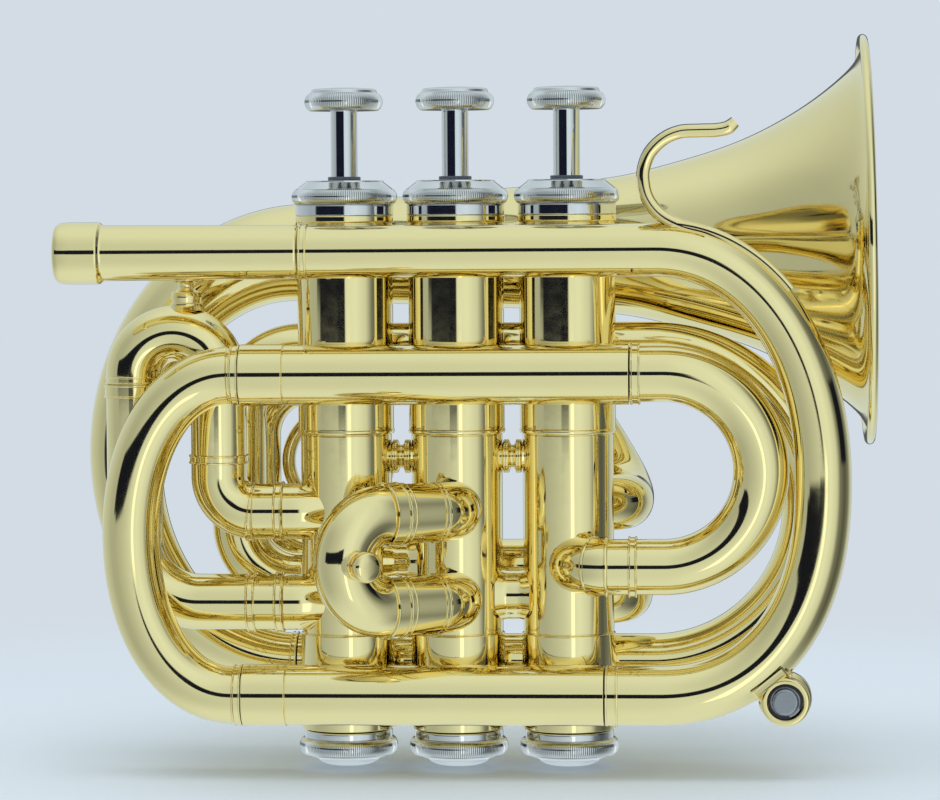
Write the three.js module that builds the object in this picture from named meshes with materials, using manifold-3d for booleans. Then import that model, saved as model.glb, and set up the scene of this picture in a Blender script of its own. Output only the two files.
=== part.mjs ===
// Pocket trumpet: three piston valves, a twice-coiled bell tube, four tuning slides.
// Millimetres, +Z up. +X points to the bell mouth, -Y to the leadpipe side.
// Origin: on the middle valve's axis, half way up its casing, where the hand holds it.
import * as THREE from 'three';
import { mergeVertices } from 'three/addons/utils/BufferGeometryUtils.js';
import Module from 'manifold-3d';

const wasm = await Module();
wasm.setup();

// ---------------------------------------------------------------- clearances
const seatGap = 0.3;            // between pieces soldered or screwed together
const slideGap = 0.3;           // between a slide leg and the sleeve it runs in
const feltGap = 0.1;            // between a felt and the face it lies on
const overrun = 2;              // how far a cut runs past the face it opens

// ---------------------------------------------------------------- facet counts
const tubeSides = 10;
const casingSides = 16;
const capSides = 12;
const smallSides = 8;
const tinySides = 6;
const bellSides = 22;

// ---------------------------------------------------------------- valve casings
const valvePitch = 25.5;
const pistonRadius = 8.4;
const pistonGap = 0.3;
const casingRadius = 10.4;
const upperSleeveRadius = 10.95;
const lowerSleeveRadius = 10.75;
const casingRimRadius = 11.25;
const casingRimHeight = 1.6;
const casingTop = 59.6;
const upperSleeveBottom = 9.9;
const lowerSleeveTop = -36.2;
const casingBottom = -58.2;
const casingBore = pistonRadius + pistonGap;
const portRadius = 4.6;

// ---------------------------------------------------------------- valves
const valveTravel = 15;
const pistonTop = 20;
const pistonBottom = -41;
const pistonChamfer = 0.8;
const pistonFootBore = 5.2;     // hollow foot of the piston
const pistonFootDepth = 6;
const tunnelRadius = 4.4;
const barrelRadius = 8;
const barrelBore = 6.9;
const barrelTop = 61.5;
const barrelLid = 2;
const guideHeight = 3;
const guideRadius = 6.6;
const guideEarWidth = 4;
const guideEarGap = 0.25;        // between the guide's ears and the casing's bore
const guideBore = 2.5;
const guideBottom = 22;
const slotSideGap = 0.5;
const slotTopGap = 1.5;
const springRadius = 5.9;
const springWire = 0.5;
const springCurls = 4;
const springSteps = 8;
const springSides = 5;
const innerFeltRadius = 7.4;
const innerFeltHeight = 1.7;
const stemRadius = 3.05;
const stemHoleGap = 0.4;
const stemHoleRadius = stemRadius + stemHoleGap;
const buttonRadius = 8.85;
const buttonHeight = 4.4;
const buttonEdge = 1.1;
const buttonBottom = 83.6;
const buttonInlayRadius = 7.3;
const buttonInlayRise = 0.8;
const buttonInlayEdge = 0.3;
const buttonDish = 0.35;
const stemFeltRadius = 4.6;
const stemFeltHeight = 0.6;

// ---------------------------------------------------------------- caps
const capRingRadius = 11.25;
const capRingHeight = 2.1;
const capKnurlRadius = 11.95;
const capKnurlHeight = 3.6;
const capKnurlEdge = 0.9;
const capConeBase = 11;
const capTopRadius = 8.7;
const capTop = 67.6;
const capBore = 8.9;
const bottomRingRadius = 10.2;
const bottomRingHeight = 2.3;
const bottomKnurlRadius = 11.35;
const bottomKnurlEdge = 0.9;
const bottomKnurlHeight = 2.9;
const bottomShoulderDrop = 1.6;
const bottomShoulderRadius = 10.4;
const bottomNubRadius = 7.2;
const bottomNubEdge = 0.6;
const bottomCapFoot = -67;
const bottomNubHeight = 1.2;
const bottomCapBore = 8.3;
const bottomCapFloor = 3;

// ---------------------------------------------------------------- leadpipe and receiver
const leadpipeY = -17.5;
const leadpipeZ = 51.5;
const leadpipeRadius = 5.95;
const leadpipeBowRadius = 6.35;
const leadpipeFootRadius = 6.7;
const leadpipeBore = 4.6;
const leadpipeBoreEnd = 30;
const leadBowX = 46;
const leadBowReach = 37.3;
const leadUpperFullness = 2.1;  // squareness of the bow's upper and lower quarters
const leadLowerFullness = 2.3;
const receiverEnd = -89.3;
const receiverJoint = -34.2;
const receiverFaceRadius = 6.15;
const receiverNose = 2.8;
const receiverNoseStep = 0.9;
const receiverShoulderRadius = 6.8;
const receiverCollarRadius = 7;
const receiverCollarEnd = -78.9;
const receiverRadius = 6.25;
const receiverStep = 0.3;
const receiverTailRadius = 6.05;
const socketRadius = 5.15;
const socketDepth = 22;
const ferruleRadius = 6.95;
const leadFerruleRadius = 6.35;
const leadFerruleLength = 1.8;
const leadFootFerrule = 2.8;

// ---------------------------------------------------------------- main tuning slide
const mainSlideY = -18.1;
const mainUpperZ = 23.8;
const mainLowerZ = -48.6;
const mainOuterRadius = 6.85;
const mainSleeveRadius = 7;
const mainSleeveLength = 9.9;
const mainInnerRadius = 6.05;
const mainInnerBore = 5.5;
const mainLeft = -47.3;
const mainUpperRight = 40;
const mainLowerRight = 34.1;
const mainInnerLength = 42;
const mainCrookRadius = 6.45;
const mainCrookReach = 23.2;
const mainCrookFullness = 2.1;
const mainFerruleLength = 2;
const mainOuterBore = mainInnerRadius + slideGap;

// ---------------------------------------------------------------- valve inlet bow
const inletRadius = 6.3;
const inletZ = -19.9;
const inletY = -14.5;
const inletBowX = 47.7;
const inletPortX = 27.5;
const inletElbow = 7.5;
const inletFerruleLength = 2.2;
const inletRingX = 39.6;
const ringRadius = 6.95;
const ringLength = 2;

// ---------------------------------------------------------------- first slide
const firstY = -4.5;
const firstRadius = 6.4;
const firstInnerRadius = 5.6;
const firstInnerBore = 5.1;
const firstUpperPortZ = -8;
const firstLowerPortZ = -28.8;
const firstRightX = -54.4;
const firstLeftX = -73.9;
const firstUpperElbow = 8.2;
const firstLowerElbow = 15;
const firstLegTop = 21.1;
const firstSleeveLength = 2.8;
const firstInnerLength = 13;
const firstFerruleLength = 1.8;
const firstRingX = -41.5;
const firstLowerRingX = -48;
const firstLegRingZ = 3.1;
const firstKnobX = -61.7;
const firstKnobBaseRadius = 3.65;
const firstKnobBaseTop = 41.4;
const firstKnobNeckRadius = 1.7;
const firstKnobHeadBottom = 43.6;
const firstKnobHeadRadius = 3.5;
const firstKnobHeadHeight = 2.6;

// ---------------------------------------------------------------- second slide
const secondPortX = -0.6;
const secondUpperZ = -7.3;
const secondLowerZ = -28;
const secondRadius = 6.3;
const secondInnerRadius = 5.5;
const secondInnerBore = 5;
const secondElbowY = -11;
const secondElbow = 7;
const secondTurn = THREE.MathUtils.degToRad(55);
const secondLegLength = 10;
const secondInnerLength = 9;
const secondFerruleLength = 3.5;
const secondKnobNeckRadius = 2.2;
const secondKnobBaseRadius = 3.1;
const secondKnobBaseReach = 7.6;
const secondKnobHeadStart = 9.9;
const secondKnobHeadRadius = 3.5;
const secondKnobHeadLength = 2.9;

// ---------------------------------------------------------------- third slide
const thirdY = 32;
const thirdRadius = 6.45;
const thirdInnerRadius = 5.6;
const thirdInnerBore = 5.1;
const thirdUpperZ = 21.5;
const thirdLowerZ = -24;
const thirdLegLeft = -22;
const thirdUpperLegRight = 14;
const thirdSleeveLength = 3;
const thirdSleeveRadius = 6.95;
const thirdInnerLength = 20;
const thirdFerruleLength = 2;
const thirdCornerX = -37;
const thirdCorner = 14;
const thirdUpperPortZ = -7;
const thirdLowerPortZ = -28.5;
const thirdPortX = 30;
const thirdPortY = 6;
const thirdElbow = 8;
const thirdKnuckleReach = 12.8; // from the valve's axis to the knuckle's outermost point
// The upper knuckle's places, as shares of its reach (X), of the slide's Y and of the rise
// from the port to the leg (Z).
const thirdKnuckleShares = [
  [-0.35, 1, 0.93], [0.2, 1, 0.62], [0.62, 0.95, 0.33], [0.9, 0.8, 0.12],
  [1, 0.575, 0.01], [0.9, 0.345, 0], [0.352, 0.1875, 0],
];
const fingerRingX = -30.7;
const fingerRingRadius = 13.5;  // outside
const fingerRingSection = 1.6;

// ---------------------------------------------------------------- bell coil, tail bow and bell
const coilY = 17.8;
const coilRadius = 6.45;
const coilPortZ = -26;
const coilPortAngle = THREE.MathUtils.degToRad(113.4);
const coilPortElbow = 9;
const coilLowerCorner = 13.5;
const coilUpperCorner = 15;
const coilTopZ = 28;
const coilBottomZ = -45;
const coilBowX = 44.5;
const coilRingLength = 2;
const bellY = 29;
const bellTailX = -39;
const bellTailZ = 50.9;
const bellRimX = 95.5;
const bellRimZ = 53.2;
const tailReach = 41.3;
const tailStartRadius = 6.5;
const tailSwell = 1.25;         // how late along the bow the tube widens
const bellWall = 0.8;
const rimBead = 1.1;
const bellThroatRadius = 11.5;
const bellMouthRadius = 47;
// The bell's flare: shares of its length and of its mouth radius.
const bellFlareShares = [
  [0, 0.245], [0.175, 0.264], [0.372, 0.306], [0.528, 0.324], [0.591, 0.357], [0.619, 0.377],
  [0.689, 0.424], [0.762, 0.483], [0.813, 0.543], [0.862, 0.615], [0.906, 0.688], [0.946, 0.775],
  [0.976, 0.848], [0.993, 0.9], [1, 0.977],
];
const braceRadius = 1.8;
const braceFlangeRadius = 3.6;
const braceFlangeHeight = 1.2;

// ---------------------------------------------------------------- small fittings
const spacerZ = 4.3;
const spacerRadius = 2;
const spacerFlangeRadius = 4;
const spacerFlangeLength = 1.1;
const crossoverRadius = 5.5;
const crossoverBore = 4.6;
const crossover12Z = -20;
const crossover23Z = -27.6;

const hookHalfThickness = 1.75;
const hookHalfWidth = 3;
const hookFootThickness = 1.1;
const hookFootEndX = 74.9;
const hookRootX = 48.2;
const hookHeight = 22.3;        // from the leadpipe's crown to the hook's tip
const hookSpan = 21.9;          // from the hook's back to its tip
const hookBackX = 42;
// The hook's centre line, as shares of its span and of its height over the leadpipe's crown.
const hookShares = [
  [0.62, -0.035], [0.42, -0.01], [0.28, 0.1], [0.12, 0.33], [0, 0.61], [0.08, 0.86],
  [0.39, 0.935], [0.7, 0.94], [0.93, 0.97], [1, 1.03],
];

const waterKeyX = 74.7;
const waterKeyZ = -49.5;
const waterKeyFront = -22.5;
const waterKeyBack = -12.5;
const waterKeyRadius = 5;
const waterKeyFlangeRadius = 6;
const waterKeyFlangeLength = 1.4;
const waterKeyBore = 4.15;
const waterKeyWall = 1.2;
const waterKeyVent = 1.5;
const waterKeyTravel = 2;
const clipDepth = 0.6;          // from the body's front face
const clipThickness = 0.6;
const clipOuter = 3.95;
const clipInner = 3.4;
const clipHalfOpening = THREE.MathUtils.degToRad(25);
const plungerNoseRadius = 3;
const plungerRadius = 3.85;
const plungerLength = 2.4;
const plungerProud = 0.4;
const keySpringRadius = 3.1;
const keySpringWire = 0.3;
const keySpringCurls = 3;
const saddleWidth = 2.5;
const saddleTilt = THREE.MathUtils.degToRad(132);

// ================================================================= building tools
const X = new THREE.Vector3(1, 0, 0);
const Y = new THREE.Vector3(0, 1, 0);
const Z = new THREE.Vector3(0, 0, 1);
const V = (x, y, z) => new THREE.Vector3(x, y, z);

// A closed triangle mesh as a solid, with its faces turned outwards.
function toSolid(geometry) {
  const bare = geometry.clone();
  bare.deleteAttribute('normal');
  bare.deleteAttribute('uv');
  const merged = mergeVertices(bare);
  const points = merged.attributes.position.array;
  const corners = [];
  let volume = 0;
  const at = (k) => V(points[3 * k], points[3 * k + 1], points[3 * k + 2]);
  for (let k = 0; k < merged.index.count; k += 3) {
    const [a, b, c] = [0, 1, 2].map((j) => merged.index.getX(k + j));
    if (a === b || b === c || c === a) continue;
    corners.push(a, b, c);
    volume += at(a).dot(at(b).cross(at(c)));
  }
  if (volume < 0) for (let k = 0; k < corners.length; k += 3) [corners[k], corners[k + 1]] = [corners[k + 1], corners[k]];
  return new wasm.Manifold(new wasm.Mesh({
    numProp: 3, vertProperties: new Float32Array(points), triVerts: new Uint32Array(corners),
  }));
}

function toGeometry(solid) {
  const mesh = solid.getMesh();
  const geometry = new THREE.BufferGeometry();
  geometry.setAttribute('position', new THREE.BufferAttribute(new Float32Array(mesh.vertProperties), 3));
  geometry.setIndex(new THREE.BufferAttribute(new Uint32Array(mesh.triVerts), 1));
  geometry.computeVertexNormals();
  return geometry;
}

const fuse = (...solids) => solids.reduce((a, b) => a.add(b));
const cut = (solid, ...cutters) => cutters.reduce((a, b) => a.subtract(b), solid);

// A turned piece: the profile is [radius, height] pairs; its axis runs from `foot` along `axis`.
function turned(profile, foot, axis, sides) {
  const geometry = new THREE.LatheGeometry(profile.map(([r, h]) => new THREE.Vector2(r, h)), sides);
  geometry.applyQuaternion(new THREE.Quaternion().setFromUnitVectors(Y, axis));
  geometry.translate(foot.x, foot.y, foot.z);
  return toSolid(geometry);
}

// A round bar between two points.
function bar(from, to, radius, sides = smallSides, endRadius = radius) {
  const axis = to.clone().sub(from);
  return turned([[0, 0], [radius, 0], [endRadius, axis.length()], [0, axis.length()]], from, axis.clone().normalize(), sides);
}

function block(centre, sizeX, sizeY, sizeZ) {
  const geometry = new THREE.BoxGeometry(sizeX, sizeY, sizeZ);
  geometry.translate(centre.x, centre.y, centre.z);
  return toSolid(geometry);
}

// Part of an oval or squared-off oval, from `start` round towards `bulge`.
class Bow extends THREE.Curve {
  constructor(centre, start, bulge, turn = Math.PI / 2, fullness = 2) {
    super();
    Object.assign(this, { centre, start, bulge, turn, power: 2 / fullness });
  }

  getPoint(t, target = new THREE.Vector3()) {
    const c = Math.cos(t * this.turn), s = Math.sin(t * this.turn);
    return target.copy(this.centre)
      .addScaledVector(this.start, Math.sign(c) * Math.abs(c) ** this.power)
      .addScaledVector(this.bulge, Math.abs(s) ** this.power);
  }

  getTangent(t) {
    if (this.power !== 1) return super.getTangent(t);
    const c = Math.cos(t * this.turn), s = Math.sin(t * this.turn);
    return V(0, 0, 0).addScaledVector(this.start, -s).addScaledVector(this.bulge, c).normalize();
  }
}

// A round tube bent along straight runs and bows; a step in radius at one place makes a ferrule.
class Pipe {
  constructor(side = Y) {
    this.stops = [];
    this.side = side;
  }

  stop(point, tangent, radius) {
    const last = this.stops.at(-1);
    if (!last || last.point.distanceToSquared(point) > seatGap * seatGap * seatGap || last.radius !== radius) this.stops.push({ point, tangent, radius });
    return this;
  }

  run(from, to, radius, endRadius = radius) {
    const along = to.clone().sub(from).normalize();
    return this.stop(from.clone(), along, radius).stop(to.clone(), along, endRadius);
  }

  bend(curve, steps, radius, endRadius = radius, swell = 1, from = 0, to = 1) {
    for (let k = 0; k <= steps; k++) {
      const share = from + (to - from) * k / steps;
      this.stop(curve.getPoint(share), curve.getTangent(share), radius + (endRadius - radius) * (k / steps) ** swell);
    }
    return this;
  }

  solid({ grow = 0, sides = tubeSides, flat = 1 } = {}) {
    const places = [], faces = [];
    let across = this.side.clone();
    for (const { point, tangent, radius } of this.stops) {
      across.addScaledVector(tangent, -across.dot(tangent)).normalize();
      const out = across.clone().cross(tangent);
      for (let k = 0; k < sides; k++) {
        const turn = 2 * Math.PI * (k + 0.5) / sides;
        const place = point.clone()
          .addScaledVector(out, (radius + grow) * Math.cos(turn))
          .addScaledVector(across, (radius + grow) * flat * Math.sin(turn));
        places.push(place.x, place.y, place.z);
      }
    }
    const last = (this.stops.length - 1) * sides;
    for (let ring = 0; ring < last; ring += sides) {
      for (let k = 0; k < sides; k++) {
        const next = (k + 1) % sides;
        faces.push(ring + k, ring + next, ring + sides + k, ring + next, ring + sides + next, ring + sides + k);
      }
    }
    for (let k = 1; k < sides - 1; k++) faces.push(0, k + 1, k, last, last + k, last + k + 1);
    const geometry = new THREE.BufferGeometry();
    geometry.setAttribute('position', new THREE.Float32BufferAttribute(places, 3));
    geometry.setIndex(faces);
    return toSolid(geometry);
  }
}

// A straight leg or its bore, faceted in step with the pipes so that one slides in the other.
const leg = (from, to, radius, side = Y) => new Pipe(side).run(from, to, radius).solid();

// A wound spring standing on `foot`, and the least gap from one curl to the next.
function spring(foot, axis, radius, wire, height, curls) {
  const steps = curls * springSteps;
  const rise = height - 2 * wire;
  const turnTo = new THREE.Quaternion().setFromUnitVectors(Z, axis);
  const centres = [];
  for (let k = 0; k <= steps; k++) {
    const turn = 2 * Math.PI * k / springSteps;
    centres.push(V(radius * Math.cos(turn), radius * Math.sin(turn), wire + rise * k / steps).applyQuaternion(turnTo).add(foot));
  }
  const coil = new Pipe(axis.clone());
  centres.forEach((centre, k) => {
    const before = centres[Math.max(k - 1, 0)], after = centres[Math.min(k + 1, steps)];
    coil.stop(centre, after.clone().sub(before).normalize(), wire);
  });
  console.log('spring curl gap', (rise / curls - 2 * wire).toFixed(2));
  return coil.solid({ sides: springSides });
}

// ---------------------------------------------------------------- looks
const brass = () => new THREE.MeshStandardMaterial({ color: 0xd8b450, roughness: 0.16, metalness: 1 });
const nickel = () => new THREE.MeshStandardMaterial({ color: 0xc9cbc9, roughness: 0.14, metalness: 1 });
const steel = () => new THREE.MeshStandardMaterial({ color: 0x9a9c9e, roughness: 0.3, metalness: 1 });
const felt = () => new THREE.MeshStandardMaterial({ color: 0x4a4b50, roughness: 0.95, metalness: 0 });

const trumpet = new THREE.Group();
function piece(name, solid, material) {
  const mesh = new THREE.Mesh(toGeometry(solid), material);
  mesh.name = name;
  trumpet.add(mesh);
  return solid;
}

// ================================================================= valves
const valveX = [-valvePitch, 0, valvePitch];
const compass = (turn) => V(Math.cos(turn), Math.sin(turn), 0);
const west = compass(Math.PI), east = compass(0);

// Each valve's ports: where the air comes in and goes out, and its slide's two ports, as the
// place on the casing's wall (direction from the axis) and the height.
const towards = (x, y) => V(x, y, 0).normalize();
const ports = [
  { inlet: [east, crossover12Z], outlet: [compass(coilPortAngle), coilPortZ],
    nearInlet: [towards(-casingRadius, firstY), firstUpperPortZ], nearOutlet: [towards(-casingRadius, firstY), firstLowerPortZ] },
  { inlet: [east, crossover23Z], outlet: [west, crossover12Z],
    nearInlet: [towards(secondPortX, -casingRadius), secondLowerZ], nearOutlet: [towards(secondPortX, -casingRadius), secondUpperZ] },
  { inlet: [towards(inletPortX - valvePitch, -casingRadius), inletZ], outlet: [west, crossover23Z],
    nearInlet: [towards(thirdPortX - valvePitch, thirdPortY), thirdUpperPortZ], nearOutlet: [towards(thirdPortX - valvePitch, thirdPortY), thirdLowerPortZ] },
];

const casingProfile = [
  [casingBore, casingBottom], [lowerSleeveRadius, casingBottom], [lowerSleeveRadius, lowerSleeveTop],
  [casingRadius, lowerSleeveTop], [casingRadius, upperSleeveBottom], [upperSleeveRadius, upperSleeveBottom],
  [upperSleeveRadius, casingTop - casingRimHeight], [casingRimRadius, casingTop - casingRimHeight],
  [casingRimRadius, casingTop], [casingBore, casingTop], [casingBore, casingBottom],
];

// The space a casing takes, for cutting the tubes that meet it.
const casingSpace = valveX.map((x) => turned([
  [0, casingBottom - seatGap], [lowerSleeveRadius + seatGap, casingBottom - seatGap], [lowerSleeveRadius + seatGap, lowerSleeveTop + seatGap],
  [casingRadius + seatGap, lowerSleeveTop + seatGap], [casingRadius + seatGap, upperSleeveBottom - seatGap],
  [upperSleeveRadius + seatGap, upperSleeveBottom - seatGap], [upperSleeveRadius + seatGap, casingTop], [0, casingTop],
], V(x, 0, 0), Z, casingSides));

// A bent passage through a piston, from one port to the other by way of the axis.
function tunnel(from, to, lift, x) {
  const [a, b] = [from, to].map(([direction, z]) => direction.clone().multiplyScalar(pistonRadius + overrun).add(V(x, 0, z + lift)));
  const middle = V(x, 0, (a.z + b.z) / 2);
  const inwards = middle.clone().sub(a).normalize(), outwards = b.clone().sub(middle).normalize();
  return new Pipe(Z).stop(a, inwards, tunnelRadius).stop(middle, inwards.clone().add(outwards).normalize(), tunnelRadius)
    .stop(b, outwards, tunnelRadius).solid({ sides: smallSides });
}

const slotBottom = guideBottom - seatGap;
const slotTop = guideBottom + guideHeight + valveTravel + slotTopGap;
const capFoot = casingTop + seatGap;
const capKnurlFoot = capFoot + capRingHeight;
const innerFeltTop = barrelTop + feltGap + innerFeltHeight;
const capCeiling = innerFeltTop + feltGap;
const bottomRingTop = casingBottom - seatGap;
const bottomKnurlTop = bottomRingTop - bottomRingHeight;

// Spools that hold the casings apart, soldered to the middle one.
const spools = [valveX[0], valveX[2]].map((x) => {
  const out = Math.sign(x);
  const at = (radius) => V(out * radius, 0, spacerZ);
  const root = (casingBore + casingRadius) / 2;
  return cut(fuse(
    bar(at(root), V(x, 0, spacerZ), spacerRadius),
    bar(at(root), at(casingRadius + spacerFlangeLength), spacerFlangeRadius),
    bar(at(valvePitch - casingRadius - seatGap - spacerFlangeLength), V(x, 0, spacerZ), spacerFlangeRadius),
  ), casingSpace[x < 0 ? 0 : 2]);
});

valveX.forEach((x, k) => {
  const n = k + 1;
  const foot = V(x, 0, 0);
  const drills = Object.values(ports[k]).map(([direction, z]) => bar(
    V(x, 0, z), direction.clone().multiplyScalar(casingRadius + overrun).add(V(x, 0, z)), portRadius));
  const casing = cut(turned(casingProfile, foot, Z, casingSides), ...drills);
  piece(`valve_casing_${n}`, x === 0 ? fuse(casing, ...spools) : casing, brass());

  const { inlet, outlet, nearInlet, nearOutlet } = ports[k];
  const pistonBody = turned([
    [0, pistonBottom + pistonFootDepth], [pistonFootBore, pistonBottom + pistonFootDepth], [pistonFootBore, pistonBottom],
    [pistonRadius - pistonChamfer, pistonBottom], [pistonRadius, pistonBottom + pistonChamfer], [pistonRadius, pistonTop],
    [barrelRadius, pistonTop], [barrelRadius, barrelTop], [0, barrelTop],
  ], foot, Z, casingSides);
  const hollow = bar(V(x, 0, pistonTop), V(x, 0, barrelTop - barrelLid), barrelBore, casingSides);
  const slot = block(V(x, 0, (slotBottom + slotTop) / 2), 2 * (barrelRadius + overrun), guideEarWidth + 2 * slotSideGap, slotTop - slotBottom);
  piece(`valve_piston_${n}`, cut(pistonBody, hollow, slot,
    tunnel(inlet, outlet, 0, x), tunnel(inlet, nearInlet, valveTravel, x), tunnel(nearOutlet, outlet, valveTravel, x)), nickel());

  const guideEarReach = casingBore * Math.cos(Math.PI / casingSides) - guideEarGap - guideEarWidth ** 2 / (8 * casingBore);
  const guideEars = block(V(x, 0, guideBottom + guideHeight / 2), 2 * guideEarReach, guideEarWidth, guideHeight);
  const guideDisc = turned([
    [guideBore, 0], [guideRadius, 0], [guideRadius, guideHeight], [guideBore, guideHeight], [guideBore, 0],
  ], V(x, 0, guideBottom), Z, capSides);
  piece(`valve_guide_${n}`, fuse(cut(guideEars, bar(V(x, 0, guideBottom - overrun), V(x, 0, guideBottom + guideHeight + overrun), guideBore)), guideDisc), brass());

  const springFoot = guideBottom + guideHeight + seatGap;
  piece(`valve_spring_${n}`, spring(V(x, 0, springFoot), Z, springRadius, springWire,
    barrelTop - barrelLid - seatGap - springFoot, springCurls), steel());

  piece(`inner_felt_${n}`, turned([
    [stemHoleRadius, barrelTop + feltGap], [innerFeltRadius, barrelTop + feltGap], [innerFeltRadius, innerFeltTop],
    [stemHoleRadius, innerFeltTop], [stemHoleRadius, barrelTop + feltGap],
  ], foot, Z, tubeSides), felt());

  piece(`valve_stem_${n}`, bar(V(x, 0, barrelTop + seatGap), V(x, 0, buttonBottom - seatGap), stemRadius, tubeSides), nickel());

  const rim = buttonBottom + buttonHeight;
  piece(`finger_button_${n}`, turned([
    [0, buttonBottom], [buttonRadius - buttonEdge, buttonBottom], [buttonRadius, buttonBottom + buttonEdge],
    [buttonRadius, rim - buttonEdge], [buttonRadius - buttonEdge, rim], [buttonInlayRadius, rim],
    [buttonInlayRadius - buttonInlayEdge, rim + buttonInlayRise], [buttonInlayRadius / 2, rim + buttonInlayRise - buttonDish / 2],
    [0, rim + buttonInlayRise - buttonDish],
  ], foot, Z, capSides), nickel());

  const knurlTop = capKnurlFoot + capKnurlHeight;
  piece(`top_cap_${n}`, turned([
    [capBore, capFoot], [capRingRadius, capFoot], [capRingRadius, capKnurlFoot], [capKnurlRadius - capKnurlEdge / 2, capKnurlFoot],
    [capKnurlRadius, capKnurlFoot + capKnurlEdge], [capKnurlRadius, knurlTop - capKnurlEdge], [capConeBase, knurlTop],
    [capTopRadius, capTop], [stemHoleRadius, capTop], [stemHoleRadius, capCeiling], [capBore, capCeiling], [capBore, capFoot],
  ], foot, Z, capSides), nickel());

  piece(`stem_felt_${n}`, turned([
    [stemHoleRadius, 0], [stemFeltRadius, 0], [stemFeltRadius, stemFeltHeight], [stemHoleRadius, stemFeltHeight], [stemHoleRadius, 0],
  ], V(x, 0, capTop + feltGap), Z, tubeSides), felt());

  const nubTop = bottomCapFoot + bottomNubHeight;
  piece(`bottom_cap_${n}`, turned([
    [0, bottomCapFoot + bottomCapFloor], [bottomCapBore, bottomCapFoot + bottomCapFloor], [bottomCapBore, bottomRingTop],
    [bottomRingRadius, bottomRingTop], [bottomRingRadius, bottomKnurlTop], [bottomKnurlRadius - bottomKnurlEdge, bottomKnurlTop],
    [bottomKnurlRadius, bottomKnurlTop - bottomKnurlEdge], [bottomKnurlRadius, bottomKnurlTop - bottomKnurlHeight + bottomKnurlEdge],
    [bottomShoulderRadius, bottomKnurlTop - bottomKnurlHeight], [bottomNubRadius, nubTop], [bottomNubRadius, bottomCapFoot + bottomNubEdge],
    [bottomNubRadius - bottomNubEdge, bottomCapFoot], [0, bottomCapFoot],
  ], foot, Z, capSides), nickel());
});


// ---------------------------------------------------------------- between the casings
const betweens = [-valvePitch / 2, valvePitch / 2];
[[crossover12Z, 'crossover_tube_1_2', betweens[0]], [crossover23Z, 'crossover_tube_2_3', betweens[1]]].forEach(([z, name, x]) => {
  const from = V(x - valvePitch / 2, 0, z), to = V(x + valvePitch / 2, 0, z);
  piece(name, cut(bar(from, to, crossoverRadius, tubeSides), bar(from, to, crossoverBore, smallSides), ...casingSpace), brass());
});

// ================================================================= receiver and leadpipe
piece('mouthpiece_receiver', turned([
  [socketRadius, receiverEnd], [receiverFaceRadius, receiverEnd], [receiverShoulderRadius, receiverEnd + receiverNoseStep],
  [receiverCollarRadius, receiverEnd + receiverNose], [receiverCollarRadius, receiverCollarEnd],
  [receiverRadius, receiverCollarEnd + receiverStep], [receiverTailRadius, receiverJoint], [leadpipeBore, receiverJoint],
  [leadpipeBore, receiverEnd + socketDepth], [socketRadius, receiverEnd],
], V(0, leadpipeY, leadpipeZ), X, capSides), brass());

const leadAt = (x, z) => V(x, leadpipeY, z);
const leadStart = receiverJoint + seatGap;
const leadFoot = mainLowerRight + seatGap;
const leadpipeRun = new Pipe()
  .run(leadAt(leadStart, leadpipeZ), leadAt(leadStart + leadFerruleLength, leadpipeZ), leadFerruleRadius)
  .run(leadAt(leadStart + leadFerruleLength, leadpipeZ), leadAt(leadBowX, leadpipeZ), leadpipeRadius)
  .bend(new Bow(leadAt(leadBowX, 0), V(0, 0, leadpipeZ), V(leadBowReach, 0, 0), Math.PI / 2, leadUpperFullness), 7, leadpipeRadius, leadpipeBowRadius)
  .bend(new Bow(leadAt(leadBowX, 0), V(leadBowReach, 0, 0), V(0, mainSlideY - leadpipeY, mainLowerZ), Math.PI / 2, leadLowerFullness), 7, leadpipeBowRadius, leadpipeFootRadius)
  .run(V(leadBowX, mainSlideY, mainLowerZ), V(leadFoot + leadFootFerrule, mainSlideY, mainLowerZ), leadpipeFootRadius)
  .run(V(leadFoot + leadFootFerrule, mainSlideY, mainLowerZ), V(leadFoot, mainSlideY, mainLowerZ), ferruleRadius);
piece('leadpipe', cut(leadpipeRun.solid(), bar(leadAt(leadStart - overrun, leadpipeZ), leadAt(leadpipeBoreEnd, leadpipeZ), leadpipeBore)), brass());

// ================================================================= main tuning slide
const mainAt = (x, z) => V(x, mainSlideY, z);
const mainOuterLeg = (right, z) => cut(new Pipe()
  .run(mainAt(mainLeft, z), mainAt(mainLeft + mainSleeveLength, z), mainSleeveRadius)
  .run(mainAt(mainLeft + mainSleeveLength, z), mainAt(right, z), mainOuterRadius)
  .solid(), leg(mainAt(mainLeft - overrun, z), mainAt(right + overrun, z), mainOuterBore));
piece('main_slide_outer_leg_upper', mainOuterLeg(mainUpperRight, mainUpperZ), brass());
piece('main_slide_outer_leg_lower', mainOuterLeg(mainLowerRight, mainLowerZ), brass());

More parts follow.
